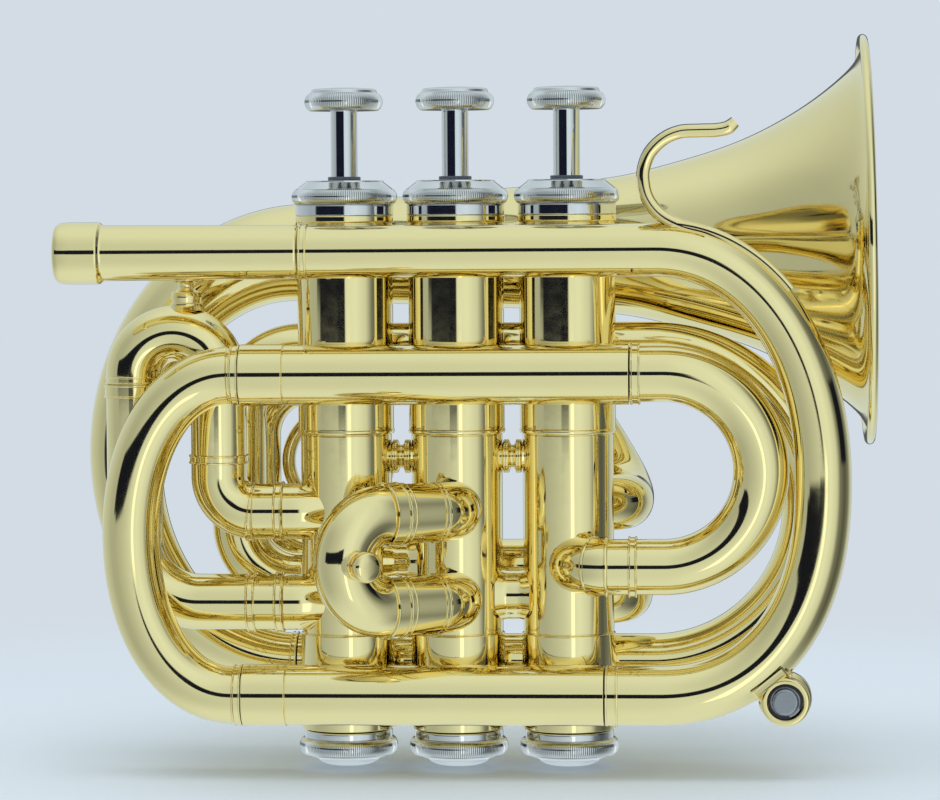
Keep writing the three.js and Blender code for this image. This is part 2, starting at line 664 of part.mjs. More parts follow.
const mainStop = mainLeft - seatGap;
const mainCrookX = mainStop - mainFerruleLength;
const mainMidZ = (mainUpperZ + mainLowerZ) / 2;
const mainTip = mainStop + mainInnerLength;
const mainSlideRun = new Pipe()
  .run(mainAt(mainTip, mainUpperZ), mainAt(mainStop, mainUpperZ), mainInnerRadius)
  .run(mainAt(mainStop, mainUpperZ), mainAt(mainCrookX, mainUpperZ), ferruleRadius)
  .bend(new Bow(mainAt(mainCrookX, mainMidZ), V(0, 0, mainUpperZ - mainMidZ), V(-mainCrookReach, 0, 0), Math.PI, mainCrookFullness), 12, mainCrookRadius)
  .run(mainAt(mainCrookX, mainLowerZ), mainAt(mainStop, mainLowerZ), ferruleRadius)
  .run(mainAt(mainStop, mainLowerZ), mainAt(mainTip, mainLowerZ), mainInnerRadius);
piece('main_slide', cut(mainSlideRun.solid(), ...[mainUpperZ, mainLowerZ].map((z) => leg(
  mainAt(mainTip + overrun, z), mainAt(mainStop, z), mainInnerBore))), brass());

// ---------------------------------------------------------------- inlet bow to the third valve
const inletStart = mainUpperRight + seatGap;
const inletMidZ = (mainUpperZ + inletZ) / 2;
const inletMidY = (mainSlideY + inletY) / 2;
const inletAt = (x) => V(x, inletY, inletZ);
const inletElbowX = inletPortX + inletElbow;
const inletElbowBow = new Bow(V(inletElbowX, inletY + inletElbow, inletZ), V(0, -inletElbow, 0), V(-inletElbow, 0, 0));
const elbowRingShare = 0.3;
piece('valve_inlet_bow', cut(new Pipe()
  .run(mainAt(inletStart, mainUpperZ), mainAt(inletStart + inletFerruleLength, mainUpperZ), ferruleRadius)
  .run(mainAt(inletStart + inletFerruleLength, mainUpperZ), mainAt(inletBowX, mainUpperZ), inletRadius)
  .bend(new Bow(V(inletBowX, inletMidY, inletMidZ), V(0, mainSlideY - inletMidY, mainUpperZ - inletMidZ), V(mainUpperZ - inletMidZ, 0, 0), Math.PI), 9, inletRadius)
  .run(inletAt(inletBowX), inletAt(inletRingX + ringLength), inletRadius)
  .run(inletAt(inletRingX + ringLength), inletAt(inletRingX), ringRadius)
  .run(inletAt(inletRingX), inletAt(inletElbowX), inletRadius)
  .bend(inletElbowBow, 1, ringRadius, ringRadius, 1, 0, elbowRingShare)
  .bend(inletElbowBow, 3, inletRadius, inletRadius, 1, elbowRingShare, 1)
  .run(V(inletPortX, inletY + inletElbow, inletZ), V(inletPortX, 0, inletZ), inletRadius)
  .solid(), casingSpace[2]), brass());

// ================================================================= first slide
const firstAt = (x, z) => V(x, firstY, z);
const firstBore = firstInnerRadius + slideGap;
const firstPort = valveX[0];
const firstUpperBow = new Bow(firstAt(firstRightX + firstUpperElbow, firstUpperPortZ + firstUpperElbow), V(0, 0, -firstUpperElbow), V(-firstUpperElbow, 0, 0));
const firstSleeveRadius = ringRadius;
const firstLegDrill = (x) => leg(firstAt(x, firstLegTop + overrun), firstAt(x, firstLegTop - firstInnerLength - seatGap), firstBore);
piece('first_slide_upper_tube', cut(new Pipe()
  .run(firstAt(firstPort, firstUpperPortZ), firstAt(firstRingX + ringLength, firstUpperPortZ), firstRadius)
  .run(firstAt(firstRingX + ringLength, firstUpperPortZ), firstAt(firstRingX, firstUpperPortZ), ringRadius)
  .run(firstAt(firstRingX, firstUpperPortZ), firstAt(firstRightX + firstUpperElbow, firstUpperPortZ), firstRadius)
  .bend(firstUpperBow, 1, ringRadius, ringRadius, 1, 0, elbowRingShare)
  .bend(firstUpperBow, 3, firstRadius, firstRadius, 1, elbowRingShare, 1)
  .run(firstAt(firstRightX, firstUpperPortZ + firstUpperElbow), firstAt(firstRightX, firstLegRingZ), firstRadius)
  .run(firstAt(firstRightX, firstLegRingZ), firstAt(firstRightX, firstLegRingZ + ringLength), ringRadius)
  .run(firstAt(firstRightX, firstLegRingZ + ringLength), firstAt(firstRightX, firstLegTop - firstSleeveLength), firstRadius)
  .run(firstAt(firstRightX, firstLegTop - firstSleeveLength), firstAt(firstRightX, firstLegTop), firstSleeveRadius)
  .solid(), casingSpace[0], firstLegDrill(firstRightX)), brass());
piece('first_slide_lower_tube', cut(new Pipe()
  .run(firstAt(firstPort, firstLowerPortZ), firstAt(firstRingX + ringLength, firstLowerPortZ), firstRadius)
  .run(firstAt(firstRingX + ringLength, firstLowerPortZ), firstAt(firstRingX, firstLowerPortZ), ringRadius)
  .run(firstAt(firstRingX, firstLowerPortZ), firstAt(firstLowerRingX + ringLength, firstLowerPortZ), firstRadius)
  .run(firstAt(firstLowerRingX + ringLength, firstLowerPortZ), firstAt(firstLowerRingX, firstLowerPortZ), ringRadius)
  .run(firstAt(firstLowerRingX, firstLowerPortZ), firstAt(firstLeftX + firstLowerElbow, firstLowerPortZ), firstRadius)
  .bend(new Bow(firstAt(firstLeftX + firstLowerElbow, firstLowerPortZ + firstLowerElbow), V(0, 0, -firstLowerElbow), V(-firstLowerElbow, 0, 0)), 5, firstRadius)
  .run(firstAt(firstLeftX, firstLowerPortZ + firstLowerElbow), firstAt(firstLeftX, firstLegTop - firstSleeveLength), firstRadius)
  .run(firstAt(firstLeftX, firstLegTop - firstSleeveLength), firstAt(firstLeftX, firstLegTop), firstSleeveRadius)
  .solid(), casingSpace[0], firstLegDrill(firstLeftX)), brass());

const firstStop = firstLegTop + seatGap;
const firstCrookZ = firstStop + firstFerruleLength;
const firstMidX = (firstRightX + firstLeftX) / 2;
const firstCrookRun = new Pipe()
  .run(firstAt(firstRightX, firstStop - firstInnerLength), firstAt(firstRightX, firstStop), firstInnerRadius)
  .run(firstAt(firstRightX, firstStop), firstAt(firstRightX, firstCrookZ), ringRadius)
  .bend(new Bow(firstAt(firstMidX, firstCrookZ), V(firstRightX - firstMidX, 0, 0), V(0, 0, firstRightX - firstMidX), Math.PI), 8, firstRadius)
  .run(firstAt(firstLeftX, firstCrookZ), firstAt(firstLeftX, firstStop), ringRadius)
  .run(firstAt(firstLeftX, firstStop), firstAt(firstLeftX, firstStop - firstInnerLength), firstInnerRadius);
piece('first_slide_crook', cut(firstCrookRun.solid(), ...[firstRightX, firstLeftX].map((x) => leg(
  firstAt(x, firstStop - firstInnerLength - overrun), firstAt(x, firstStop), firstInnerBore))), brass());
piece('first_slide_knob', cut(turned([
  [0, firstCrookZ], [firstKnobBaseRadius, firstCrookZ], [firstKnobBaseRadius, firstKnobBaseTop],
  [firstKnobNeckRadius, firstKnobBaseTop], [firstKnobNeckRadius, firstKnobHeadBottom], [firstKnobHeadRadius, firstKnobHeadBottom],
  [firstKnobHeadRadius, firstKnobHeadBottom + firstKnobHeadHeight], [0, firstKnobHeadBottom + firstKnobHeadHeight],
], firstAt(firstKnobX, 0), Z, tubeSides), firstCrookRun.solid({ grow: seatGap }),
turned([[0, firstCrookZ - overrun], [firstRightX - firstMidX, firstCrookZ - overrun], [firstRightX - firstMidX, firstCrookZ + firstRightX - firstMidX], [0, firstCrookZ + firstRightX - firstMidX]], firstAt(firstMidX, 0), Z, tubeSides)), brass());

// ================================================================= second slide
const secondOut = V(-Math.sin(secondTurn), -Math.cos(secondTurn), 0);
const secondSide = V(Math.cos(secondTurn), -Math.sin(secondTurn), 0);
const secondAlong = (z, distance) => V(secondPortX - secondElbow, secondElbowY, z)
  .add(V(secondElbow * Math.cos(secondTurn), -secondElbow * Math.sin(secondTurn), 0)).addScaledVector(secondOut, distance);
const secondBore = secondInnerRadius + slideGap;
[['second_slide_upper_tube', secondUpperZ], ['second_slide_lower_tube', secondLowerZ]].forEach(([name, z]) => {
  piece(name, cut(new Pipe(Z)
    .run(V(secondPortX, 0, z), V(secondPortX, secondElbowY, z), secondRadius)
    .bend(new Bow(V(secondPortX - secondElbow, secondElbowY, z), V(secondElbow, 0, 0), V(0, -secondElbow, 0), secondTurn), 3, secondRadius)
    .run(secondAlong(z, 0), secondAlong(z, secondLegLength), secondRadius)
    .solid(), casingSpace[1], leg(secondAlong(z, secondLegLength + overrun), secondAlong(z, secondLegLength - secondInnerLength - seatGap), secondBore, secondSide)), brass());
});
const secondStop = secondLegLength + seatGap;
const secondCrookStart = secondStop + secondFerruleLength;
const secondMidZ = (secondUpperZ + secondLowerZ) / 2;
const secondCrook = secondUpperZ - secondMidZ;
const secondCrookRun = new Pipe(secondSide.clone())
  .run(secondAlong(secondUpperZ, secondStop - secondInnerLength), secondAlong(secondUpperZ, secondStop), secondInnerRadius)
  .run(secondAlong(secondUpperZ, secondStop), secondAlong(secondUpperZ, secondCrookStart), ringRadius)
  .bend(new Bow(secondAlong(secondMidZ, secondCrookStart), V(0, 0, secondCrook), secondOut.clone().multiplyScalar(secondCrook), Math.PI), 8, secondRadius)
  .run(secondAlong(secondLowerZ, secondCrookStart), secondAlong(secondLowerZ, secondStop), ringRadius)
  .run(secondAlong(secondLowerZ, secondStop), secondAlong(secondLowerZ, secondStop - secondInnerLength), secondInnerRadius);
piece('second_slide_crook', cut(secondCrookRun.solid(), ...[secondUpperZ, secondLowerZ].map((z) => leg(
  secondAlong(z, secondStop - secondInnerLength - overrun), secondAlong(z, secondStop), secondInnerBore, secondSide))), brass());
const secondApex = secondAlong(secondMidZ, secondCrookStart + secondCrook);
piece('second_slide_knob', cut(turned([
  [0, 0], [secondKnobBaseRadius, 0], [secondKnobBaseRadius, secondKnobBaseReach], [secondKnobNeckRadius, secondKnobBaseReach],
  [secondKnobNeckRadius, secondKnobHeadStart], [secondKnobHeadRadius, secondKnobHeadStart],
  [secondKnobHeadRadius, secondKnobHeadStart + secondKnobHeadLength], [0, secondKnobHeadStart + secondKnobHeadLength],
], secondApex, secondSide, tubeSides), secondCrookRun.solid({ grow: seatGap })), brass());

// ================================================================= third slide
const thirdAt = (x, z) => V(x, thirdY, z);
const thirdBore = thirdInnerRadius + slideGap;
const thirdKnuckle = new THREE.CatmullRomCurve3([
  thirdAt(thirdUpperLegRight, thirdUpperZ),
  ...thirdKnuckleShares.map(([x, y, z]) => V(valveX[2] + x * thirdKnuckleReach, y * thirdY, thirdUpperPortZ + z * (thirdUpperZ - thirdUpperPortZ))),
], false, 'centripetal');
const thirdLegDrill = (z) => leg(thirdAt(thirdLegLeft - overrun, z), thirdAt(thirdLegLeft + thirdInnerLength + seatGap, z), thirdBore);
const thirdUpperTube = new Pipe()
  .run(thirdAt(thirdLegLeft, thirdUpperZ), thirdAt(thirdLegLeft + thirdSleeveLength, thirdUpperZ), thirdSleeveRadius)
  .run(thirdAt(thirdLegLeft + thirdSleeveLength, thirdUpperZ), thirdAt(thirdUpperLegRight, thirdUpperZ), thirdRadius)
  .bend(thirdKnuckle, 12, thirdRadius);
piece('third_slide_upper_tube', cut(thirdUpperTube.solid(), casingSpace[2], thirdLegDrill(thirdUpperZ)), brass());
piece('third_slide_lower_tube', cut(new Pipe(Z)
  .run(thirdAt(thirdLegLeft, thirdLowerZ), thirdAt(thirdLegLeft + thirdSleeveLength, thirdLowerZ), thirdSleeveRadius)
  .run(thirdAt(thirdLegLeft + thirdSleeveLength, thirdLowerZ), thirdAt(thirdPortX, thirdLowerZ), thirdRadius)
  .bend(new Bow(V(thirdPortX, thirdY - thirdElbow, thirdLowerZ), V(0, thirdElbow, 0), V(thirdElbow, 0, 0)), 4, thirdRadius)
  .bend(new Bow(V(thirdPortX, thirdPortY + thirdElbow, thirdLowerPortZ), V(thirdElbow, 0, 0), V(0, -thirdElbow, 0)), 4, thirdRadius)
  .solid(), casingSpace[2], thirdLegDrill(thirdLowerZ)), brass());

const thirdStop = thirdLegLeft - seatGap;
const thirdCrookX = thirdStop - thirdFerruleLength;
const thirdCrookRun = new Pipe()
  .run(thirdAt(thirdStop + thirdInnerLength, thirdUpperZ), thirdAt(thirdStop, thirdUpperZ), thirdInnerRadius)
  .run(thirdAt(thirdStop, thirdUpperZ), thirdAt(thirdCrookX, thirdUpperZ), thirdSleeveRadius)
  .run(thirdAt(thirdCrookX, thirdUpperZ), thirdAt(thirdCornerX, thirdUpperZ), thirdRadius)
  .bend(new Bow(thirdAt(thirdCornerX, thirdUpperZ - thirdCorner), V(0, 0, thirdCorner), V(-thirdCorner, 0, 0)), 4, thirdRadius)
  .bend(new Bow(thirdAt(thirdCornerX, thirdLowerZ + thirdCorner), V(-thirdCorner, 0, 0), V(0, 0, -thirdCorner)), 4, thirdRadius)
  .run(thirdAt(thirdCornerX, thirdLowerZ), thirdAt(thirdCrookX, thirdLowerZ), thirdRadius)
  .run(thirdAt(thirdCrookX, thirdLowerZ), thirdAt(thirdStop, thirdLowerZ), thirdSleeveRadius)
  .run(thirdAt(thirdStop, thirdLowerZ), thirdAt(thirdStop + thirdInnerLength, thirdLowerZ), thirdInnerRadius);
piece('third_slide_crook', cut(thirdCrookRun.solid(), ...[thirdUpperZ, thirdLowerZ].map((z) => leg(
  thirdAt(thirdStop + thirdInnerLength + overrun, z), thirdAt(thirdStop, z), thirdInnerBore))), brass());
const ringGeometry = new THREE.TorusGeometry(fingerRingRadius - fingerRingSection, fingerRingSection, tinySides, capSides);
ringGeometry.rotateX(Math.PI / 2);
ringGeometry.translate(fingerRingX, thirdY, thirdUpperZ - thirdRadius - seatGap - fingerRingRadius);
piece('third_slide_finger_ring', cut(toSolid(ringGeometry), thirdCrookRun.solid({ grow: seatGap })), brass());

// ================================================================= bell coil
const coilAt = (x, z) => V(x, coilY, z);
const coilOut = compass(coilPortAngle);
const coilMeetX = valveX[0] + coilY * coilOut.x / coilOut.y;
const coilPortTurn = Math.PI - coilPortAngle;
const coilElbowCut = coilPortElbow * Math.tan(coilPortTurn / 2);
const coilElbowEndX = coilMeetX - coilElbowCut;
const coilElbowStart = coilAt(coilMeetX, coilPortZ).addScaledVector(coilOut, -coilElbowCut);
const coilElbowCentre = V(coilElbowEndX, coilY - coilPortElbow, coilPortZ);
const coilElbowSpoke = coilElbowStart.clone().sub(coilElbowCentre);
const coilLeftX = coilElbowEndX - coilLowerCorner;
const coilTopStart = coilLeftX + coilUpperCorner;
const coilMidZ = (coilTopZ + coilBottomZ) / 2;
const coilEnd = bellTailX + seatGap;
const coilRun = new Pipe(Z)
  .run(V(valveX[0], 0, coilPortZ), coilElbowStart, coilRadius)
  .bend(new Bow(coilElbowCentre, coilElbowSpoke, coilOut.clone().multiplyScalar(coilPortElbow), coilPortTurn), 3, coilRadius)
  .bend(new Bow(coilAt(coilElbowEndX, coilPortZ + coilLowerCorner), V(0, 0, -coilLowerCorner), V(-coilLowerCorner, 0, 0)), 4, coilRadius)
  .bend(new Bow(coilAt(coilTopStart, coilTopZ - coilUpperCorner), V(-coilUpperCorner, 0, 0), V(0, 0, coilUpperCorner)), 4, coilRadius)
  .run(coilAt(coilTopStart, coilTopZ), coilAt(coilTopStart + coilRingLength, coilTopZ), thirdSleeveRadius)
  .run(coilAt(coilTopStart + coilRingLength, coilTopZ), coilAt(coilBowX, coilTopZ), coilRadius)
  .bend(new Bow(coilAt(coilBowX, coilMidZ), V(0, 0, coilTopZ - coilMidZ), V(coilTopZ - coilMidZ, 0, 0), Math.PI), 10, coilRadius)
  .run(coilAt(coilBowX, coilBottomZ), coilAt(coilEnd, coilBottomZ), coilRadius);
piece('bell_coil', cut(coilRun.solid(), casingSpace[0]), brass());

// ---------------------------------------------------------------- tail bow and bell
const tailMid = V(bellTailX, (coilY + bellY) / 2, (coilBottomZ + bellTailZ) / 2);
piece('bell_tail_bow', new Pipe()
  .bend(new Bow(tailMid, coilAt(bellTailX, coilBottomZ).sub(tailMid), V(-tailReach, 0, 0), Math.PI), 14, tailStartRadius, bellThroatRadius, tailSwell)
  .solid(), brass());

const bellFoot = V(bellTailX, bellY, bellTailZ);
const bellAxis = V(bellRimX, bellY, bellRimZ).sub(bellFoot);
const bellLength = bellAxis.length();
bellAxis.normalize();
const bellOutside = bellFlareShares.map(([along, wide]) => [wide * bellMouthRadius, seatGap + along * (bellLength - seatGap - rimBead)]);
// The inside follows the outside at the wall's thickness, square to the flare.
const bellInside = bellOutside.map(([r, h], k) => {
  const [before, after] = [bellOutside[Math.max(k - 1, 0)], bellOutside[Math.min(k + 1, bellOutside.length - 1)]];
  const along = Math.hypot(after[0] - before[0], after[1] - before[1]);
  return [r - bellWall * (after[1] - before[1]) / along, h + bellWall * (after[0] - before[0]) / along];
}).reverse();
const rimOutside = bellMouthRadius + rimBead;
const bellEnd = bellLength;
const bellProfile = [
  ...bellOutside.slice(0, -1),
  [bellMouthRadius, bellEnd - 2 * rimBead], [rimOutside, bellEnd - rimBead], [bellMouthRadius, bellEnd],
  ...bellInside, bellOutside[0],
];
piece('bell', turned(bellProfile, bellFoot, bellAxis, bellSides), brass());

// Stay between the coil's top run and the bell, behind the first valve.
const braceFrom = coilAt(valveX[0], coilTopZ);
const braceTo = bellFoot.clone().addScaledVector(bellAxis, (valveX[0] - bellTailX) / bellAxis.x);
const braceWay = braceTo.clone().sub(braceFrom).normalize();
const braceCoilFace = braceFrom.clone().addScaledVector(braceWay, coilRadius);
const braceBellFace = braceTo.clone().addScaledVector(braceWay, -bellThroatRadius - bellWall);
piece('bell_brace', cut(fuse(
  bar(braceFrom, braceTo, braceRadius),
  bar(braceFrom, braceCoilFace.clone().addScaledVector(braceWay, braceFlangeHeight), braceFlangeRadius),
  bar(braceBellFace.clone().addScaledVector(braceWay, -braceFlangeHeight / 2), braceTo, braceFlangeRadius),
), coilRun.solid({ grow: seatGap }), turned([
  [0, 0], ...bellOutside.map(([r, h]) => [r + seatGap, h]), [0, bellLength - rimBead],
], bellFoot, bellAxis, bellSides)), brass());

// ================================================================= pinky hook
const hookCrown = leadpipeZ + leadpipeRadius;
const hookCurve = new THREE.CatmullRomCurve3(hookShares.map(([x, z]) => leadAt(hookBackX + x * hookSpan, hookCrown + z * hookHeight)));
const hookPipe = new Pipe().bend(hookCurve, 13, hookHalfThickness);
const footCurve = new Bow(leadAt(leadBowX, 0), V(0, 0, hookCrown), V(leadBowReach + leadpipeRadius, 0, 0), Math.PI / 2, leadUpperFullness);
const footShare = 0.58;
const hookFoot = new Pipe().bend(footCurve, 5, hookFootThickness, hookFootThickness, 1, 0, footShare);
piece('pinky_hook', cut(fuse(
  hookPipe.solid({ sides: smallSides, flat: hookHalfWidth / hookHalfThickness }),
  hookFoot.solid({ sides: tinySides, flat: hookHalfWidth / hookFootThickness }),
), leadpipeRun.solid({ grow: seatGap })), brass());

// ================================================================= water key
const keyAt = (y) => V(waterKeyX, y, waterKeyZ);
const keyLength = waterKeyBack - waterKeyFront;
const keyBody = turned([
  [waterKeyBore, 0], [waterKeyRadius, 0], [waterKeyRadius, keyLength - waterKeyFlangeLength],
  [waterKeyFlangeRadius, keyLength - waterKeyFlangeLength], [waterKeyFlangeRadius, keyLength], [waterKeyVent, keyLength],
  [waterKeyVent, keyLength - waterKeyWall], [waterKeyBore, keyLength - waterKeyWall], [waterKeyBore, 0],
], keyAt(waterKeyFront), Y, capSides);
const saddleWay = V(Math.cos(saddleTilt), 0, Math.sin(saddleTilt));
const saddleFrom = keyAt((waterKeyFront + waterKeyBack) / 2);
const saddle = cut(
  bar(saddleFrom, saddleFrom.clone().addScaledVector(saddleWay, waterKeyRadius + leadpipeFootRadius), waterKeyRadius - saddleWidth / 2, tubeSides),
  bar(keyAt(waterKeyFront - overrun), keyAt(waterKeyBack + overrun), waterKeyRadius - (waterKeyRadius - waterKeyBore) / 2, capSides));
piece('water_key_body', cut(fuse(keyBody, saddle), leadpipeRun.solid({ grow: seatGap })), brass());

const clipShape = new THREE.Shape();
clipShape.absarc(0, 0, clipOuter, clipHalfOpening, 2 * Math.PI - clipHalfOpening, false);
clipShape.absarc(0, 0, clipInner, 2 * Math.PI - clipHalfOpening, clipHalfOpening, true);
const clipGeometry = new THREE.ExtrudeGeometry(clipShape, { depth: clipThickness, bevelEnabled: false, curveSegments: smallSides });
clipGeometry.rotateX(-Math.PI / 2);
clipGeometry.rotateY(Math.PI / 2);
clipGeometry.translate(waterKeyX, waterKeyFront + clipDepth, waterKeyZ);
piece('water_key_clip', toSolid(clipGeometry), steel());

const plungerShoulder = waterKeyFront + clipDepth + clipThickness + seatGap;
piece('water_key_plunger', turned([
  [0, waterKeyFront - plungerProud], [plungerNoseRadius, waterKeyFront - plungerProud], [plungerNoseRadius, plungerShoulder],
  [plungerRadius, plungerShoulder], [plungerRadius, plungerShoulder + plungerLength], [0, plungerShoulder + plungerLength],
], V(waterKeyX, 0, waterKeyZ), Y, tubeSides), nickel());
const keySpringFoot = waterKeyBack - waterKeyWall - seatGap;
piece('water_key_spring', spring(keyAt(plungerShoulder + plungerLength + seatGap), Y, keySpringRadius, keySpringWire,
  keySpringFoot - (plungerShoulder + plungerLength + seatGap), keySpringCurls), steel());

export default trumpet;
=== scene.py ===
"""Pocket trumpet: the dressed model, built in millimetres and placed in the CAD frame."""
import sys
import logging
import math
from bisect import bisect_left
from dataclasses import dataclass, field
from enum import Enum
from typing import Iterable, Sequence

import bpy
from mathutils import Matrix, Quaternion, Vector


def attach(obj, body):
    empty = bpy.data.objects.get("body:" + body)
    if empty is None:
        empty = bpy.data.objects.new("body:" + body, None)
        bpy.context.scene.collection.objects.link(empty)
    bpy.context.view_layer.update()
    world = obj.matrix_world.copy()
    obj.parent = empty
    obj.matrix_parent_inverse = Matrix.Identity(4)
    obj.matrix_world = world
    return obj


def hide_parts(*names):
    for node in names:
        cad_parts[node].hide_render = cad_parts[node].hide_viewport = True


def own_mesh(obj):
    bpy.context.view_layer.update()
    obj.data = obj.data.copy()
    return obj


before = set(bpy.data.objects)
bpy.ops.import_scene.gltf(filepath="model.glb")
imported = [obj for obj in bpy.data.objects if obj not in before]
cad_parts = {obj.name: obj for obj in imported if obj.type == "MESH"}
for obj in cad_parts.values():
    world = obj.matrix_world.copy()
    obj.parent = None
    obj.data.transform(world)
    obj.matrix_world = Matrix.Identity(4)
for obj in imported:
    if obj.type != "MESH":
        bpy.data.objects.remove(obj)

log = logging.getLogger("pocket_trumpet")
Corner = tuple[float, ...]              # radius, place along the axis and, if rounded, by how much
Profile = list[tuple[float, float]]     # radius and place along the axis
Shade = tuple[float, float, float]
Piece, Tree, Socket = bpy.types.Object, bpy.types.NodeTree, bpy.types.NodeSocket
MM = 0.001
MERGE = 1e-6                            # points closer than this are one, in metres
TWICE = 1e-4                            # a route's points closer than this are one, in millimetres
ORIGIN, X, Y, Z = Vector(), Vector((1, 0, 0)), Vector((0, 1, 0)), Vector((0, 0, 1))


class Body(Enum):
    """The bodies that the pieces ride on."""
    INSTRUMENT = "instrument"
    VALVE_1 = "valve_1"
    VALVE_2 = "valve_2"
    VALVE_3 = "valve_3"
    MAIN_SLIDE = "main_tuning_slide"
    FIRST_SLIDE = "first_slide"
    SECOND_SLIDE = "second_slide"
    THIRD_SLIDE = "third_slide"
    WATER_KEY = "water_key"


VALVE_BODIES = (Body.VALVE_1, Body.VALVE_2, Body.VALVE_3)


def spot(x: float, y: float, z: float) -> Vector:
    """A place in the CAD frame, in millimetres."""
    return Vector((x, y, z))


# ------------------------------------------------------------------ shader nodes
def fill(tree: Tree, node: bpy.types.Node, sockets: dict[str | int, object]) -> None:
    """Sets or links a node's inputs.

    Args:
        tree: the tree that the node is in.
        node: the node.
        sockets: for each input its value, or the output to link to it.
    """
    for socket, value in sockets.items():
        if isinstance(value, Socket):
            tree.links.new(value, node.inputs[socket])
        else:
            node.inputs[socket].default_value = value


def add_node(tree: Tree, kind: str, sockets: dict[str | int, object] | None = None, **options: str) -> bpy.types.Node:
    """Adds a shader node.

    Args:
        tree: the tree to add it to.
        kind: its type.
        sockets: for each input its value, or the output to link to it.
        options: its own options.

    Returns:
        The node.
    """
    node = tree.nodes.new(f"ShaderNode{kind}")
    for option, choice in options.items():
        setattr(node, option, choice)
    fill(tree, node, sockets or {})
    return node


def maths(tree: Tree, operation: str, *values: Socket | float) -> Socket:
    """Adds a sum to a tree."""
    return add_node(tree, "Math", dict(enumerate(values)), operation=operation).outputs[0]


def soft_step(tree: Tree, value: Socket, low: float, high: float) -> Socket:
    """Adds a soft step: 0 at the first number, 1 at the second."""
    sockets = {"Value": value, "From Min": low, "From Max": high}
    return add_node(tree, "MapRange", sockets, interpolation_type="SMOOTHSTEP").outputs["Result"]


def blend(tree: Tree, under: Socket | Shade, over: Shade, mask: Socket) -> Socket:
    """Adds a mix of two colours.

    Args:
        tree: the tree to add it to.
        under: the colour where the mask is 0, or the output that gives it.
        over: the colour where the mask is 1.
        mask: the output that tells them apart.

    Returns:
        The mixed colour.
    """
    below = under if isinstance(under, Socket) else (*under, 1)
    mix = add_node(tree, "Mix", data_type="RGBA")
    fill(tree, mix, {"A": below, "B": (*over, 1), "Factor": mask})
    return mix.outputs["Result"]


def noise(tree: Tree, scale: float, detail: float) -> Socket:
    """Adds a noise pattern over the piece's own coordinates.

    Args:
        tree: the material's tree.
        scale: how many swells a metre.
        detail: how many finer layers.

    Returns:
        The pattern.
    """
    where = tree.nodes.get("Texture Coordinate") or add_node(tree, "TexCoord")
    sockets = {"Scale": scale, "Detail": detail, "Vector": where.outputs["Object"]}
    return add_node(tree, "TexNoise", sockets).outputs["Fac"]


# ------------------------------------------------------------------ finishes
@dataclass(frozen=True)
class Finish:
    """What a piece is finished in: the material's name, its CAD slot and its colour."""
    name: str
    slot: str
    colour: Shade

    def material(self) -> bpy.types.Material:
        """Makes the finish's material, or returns the one already made.

        Returns:
            The procedural material, read from Object coordinates.
        """
        made = bpy.data.materials.get(self.name)
        if not made:
            made = bpy.data.materials.new(self.name)
            made.use_nodes = True
            tree = made.node_tree
            fill(tree, tree.nodes["Principled BSDF"], self.sockets(tree))
        return made

    def sockets(self, tree: Tree) -> dict[str, object]:
        """What the shader's inputs get."""
        raise NotImplementedError


@dataclass(frozen=True)
class MetalFinish(Finish):
    """A polished metal: how it has aged, how evenly it was buffed, and its lacquer."""
    aged: Shade
    gloss: float = 0.06
    unevenness: float = 0.03
    lacquer: float = 0.0
    ripple: float = 0.02

    def sockets(self, tree: Tree) -> dict[str, object]:
        """Clouds the colour, spreads the buffing marks and ripples the surface.

        Args:
            tree: the material's tree.

        Returns:
            What the shader's inputs get.
        """
        buffing = {"Value": noise(tree, 420.0, 6.0), "From Min": 0.35, "From Max": 0.75,
                   "To Min": self.gloss, "To Max": self.gloss + self.unevenness}
        swell = {"Strength": self.ripple, "Distance": 0.0006, "Height": noise(tree, 60.0, 1.0)}
        return {"Base Color": blend(tree, self.aged, self.colour, noise(tree, 90.0, 4.0)),
                "Roughness": add_node(tree, "MapRange", buffing).outputs["Result"],
                "Normal": add_node(tree, "Bump", swell).outputs["Normal"],
                "Metallic": 1.0, "Coat Weight": self.lacquer, "Coat Roughness": 0.03}


@dataclass(frozen=True)
class FeltFinish(Finish):
    """Pressed wool felt with its short fibres."""
    fleck: Shade

    def sockets(self, tree: Tree) -> dict[str, object]:
        """Mixes the fibres' colours and raises them.

        Args:
            tree: the material's tree.

        Returns:
            What the shader's inputs get.
        """
        fibres = noise(tree, 2600.0, 8.0)
        nap = {"Strength": 0.6, "Distance": 0.0002, "Height": fibres}
        return {"Base Color": blend(tree, self.colour, self.fleck, fibres),
                "Normal": add_node(tree, "Bump", nap).outputs["Normal"], "Roughness": 0.95, "Sheen Weight": 0.35}


BRASS = MetalFinish("polished_brass", "lacquered_brass", (0.94, 0.80, 0.405), (0.91, 0.765, 0.365),
                    0.05, 0.03, 0.10, 0.02)
SOLDERED_BRASS = MetalFinish("brass_fittings", "lacquered_brass", (0.94, 0.785, 0.39), (0.88, 0.72, 0.33),
                             0.06, 0.05, 0.10, 0.03)
NICKEL = MetalFinish("nickel_plate", "nickel", (0.77, 0.765, 0.74), (0.69, 0.69, 0.68), 0.05, 0.03)
TURNED_STEEL = MetalFinish("turned_stainless", "nickel", (0.40, 0.41, 0.43), (0.30, 0.31, 0.33), 0.2, 0.12)
BLACKED_STEEL = MetalFinish("blacked_steel", "steel", (0.06, 0.06, 0.062), (0.04, 0.04, 0.04), 0.3, 0.1)
STEEL = MetalFinish("spring_steel", "steel", (0.56, 0.57, 0.58), (0.50, 0.50, 0.51), 0.2, 0.1)
FELT = FeltFinish("grey_felt", "felt", (0.075, 0.085, 0.11), (0.14, 0.15, 0.18))


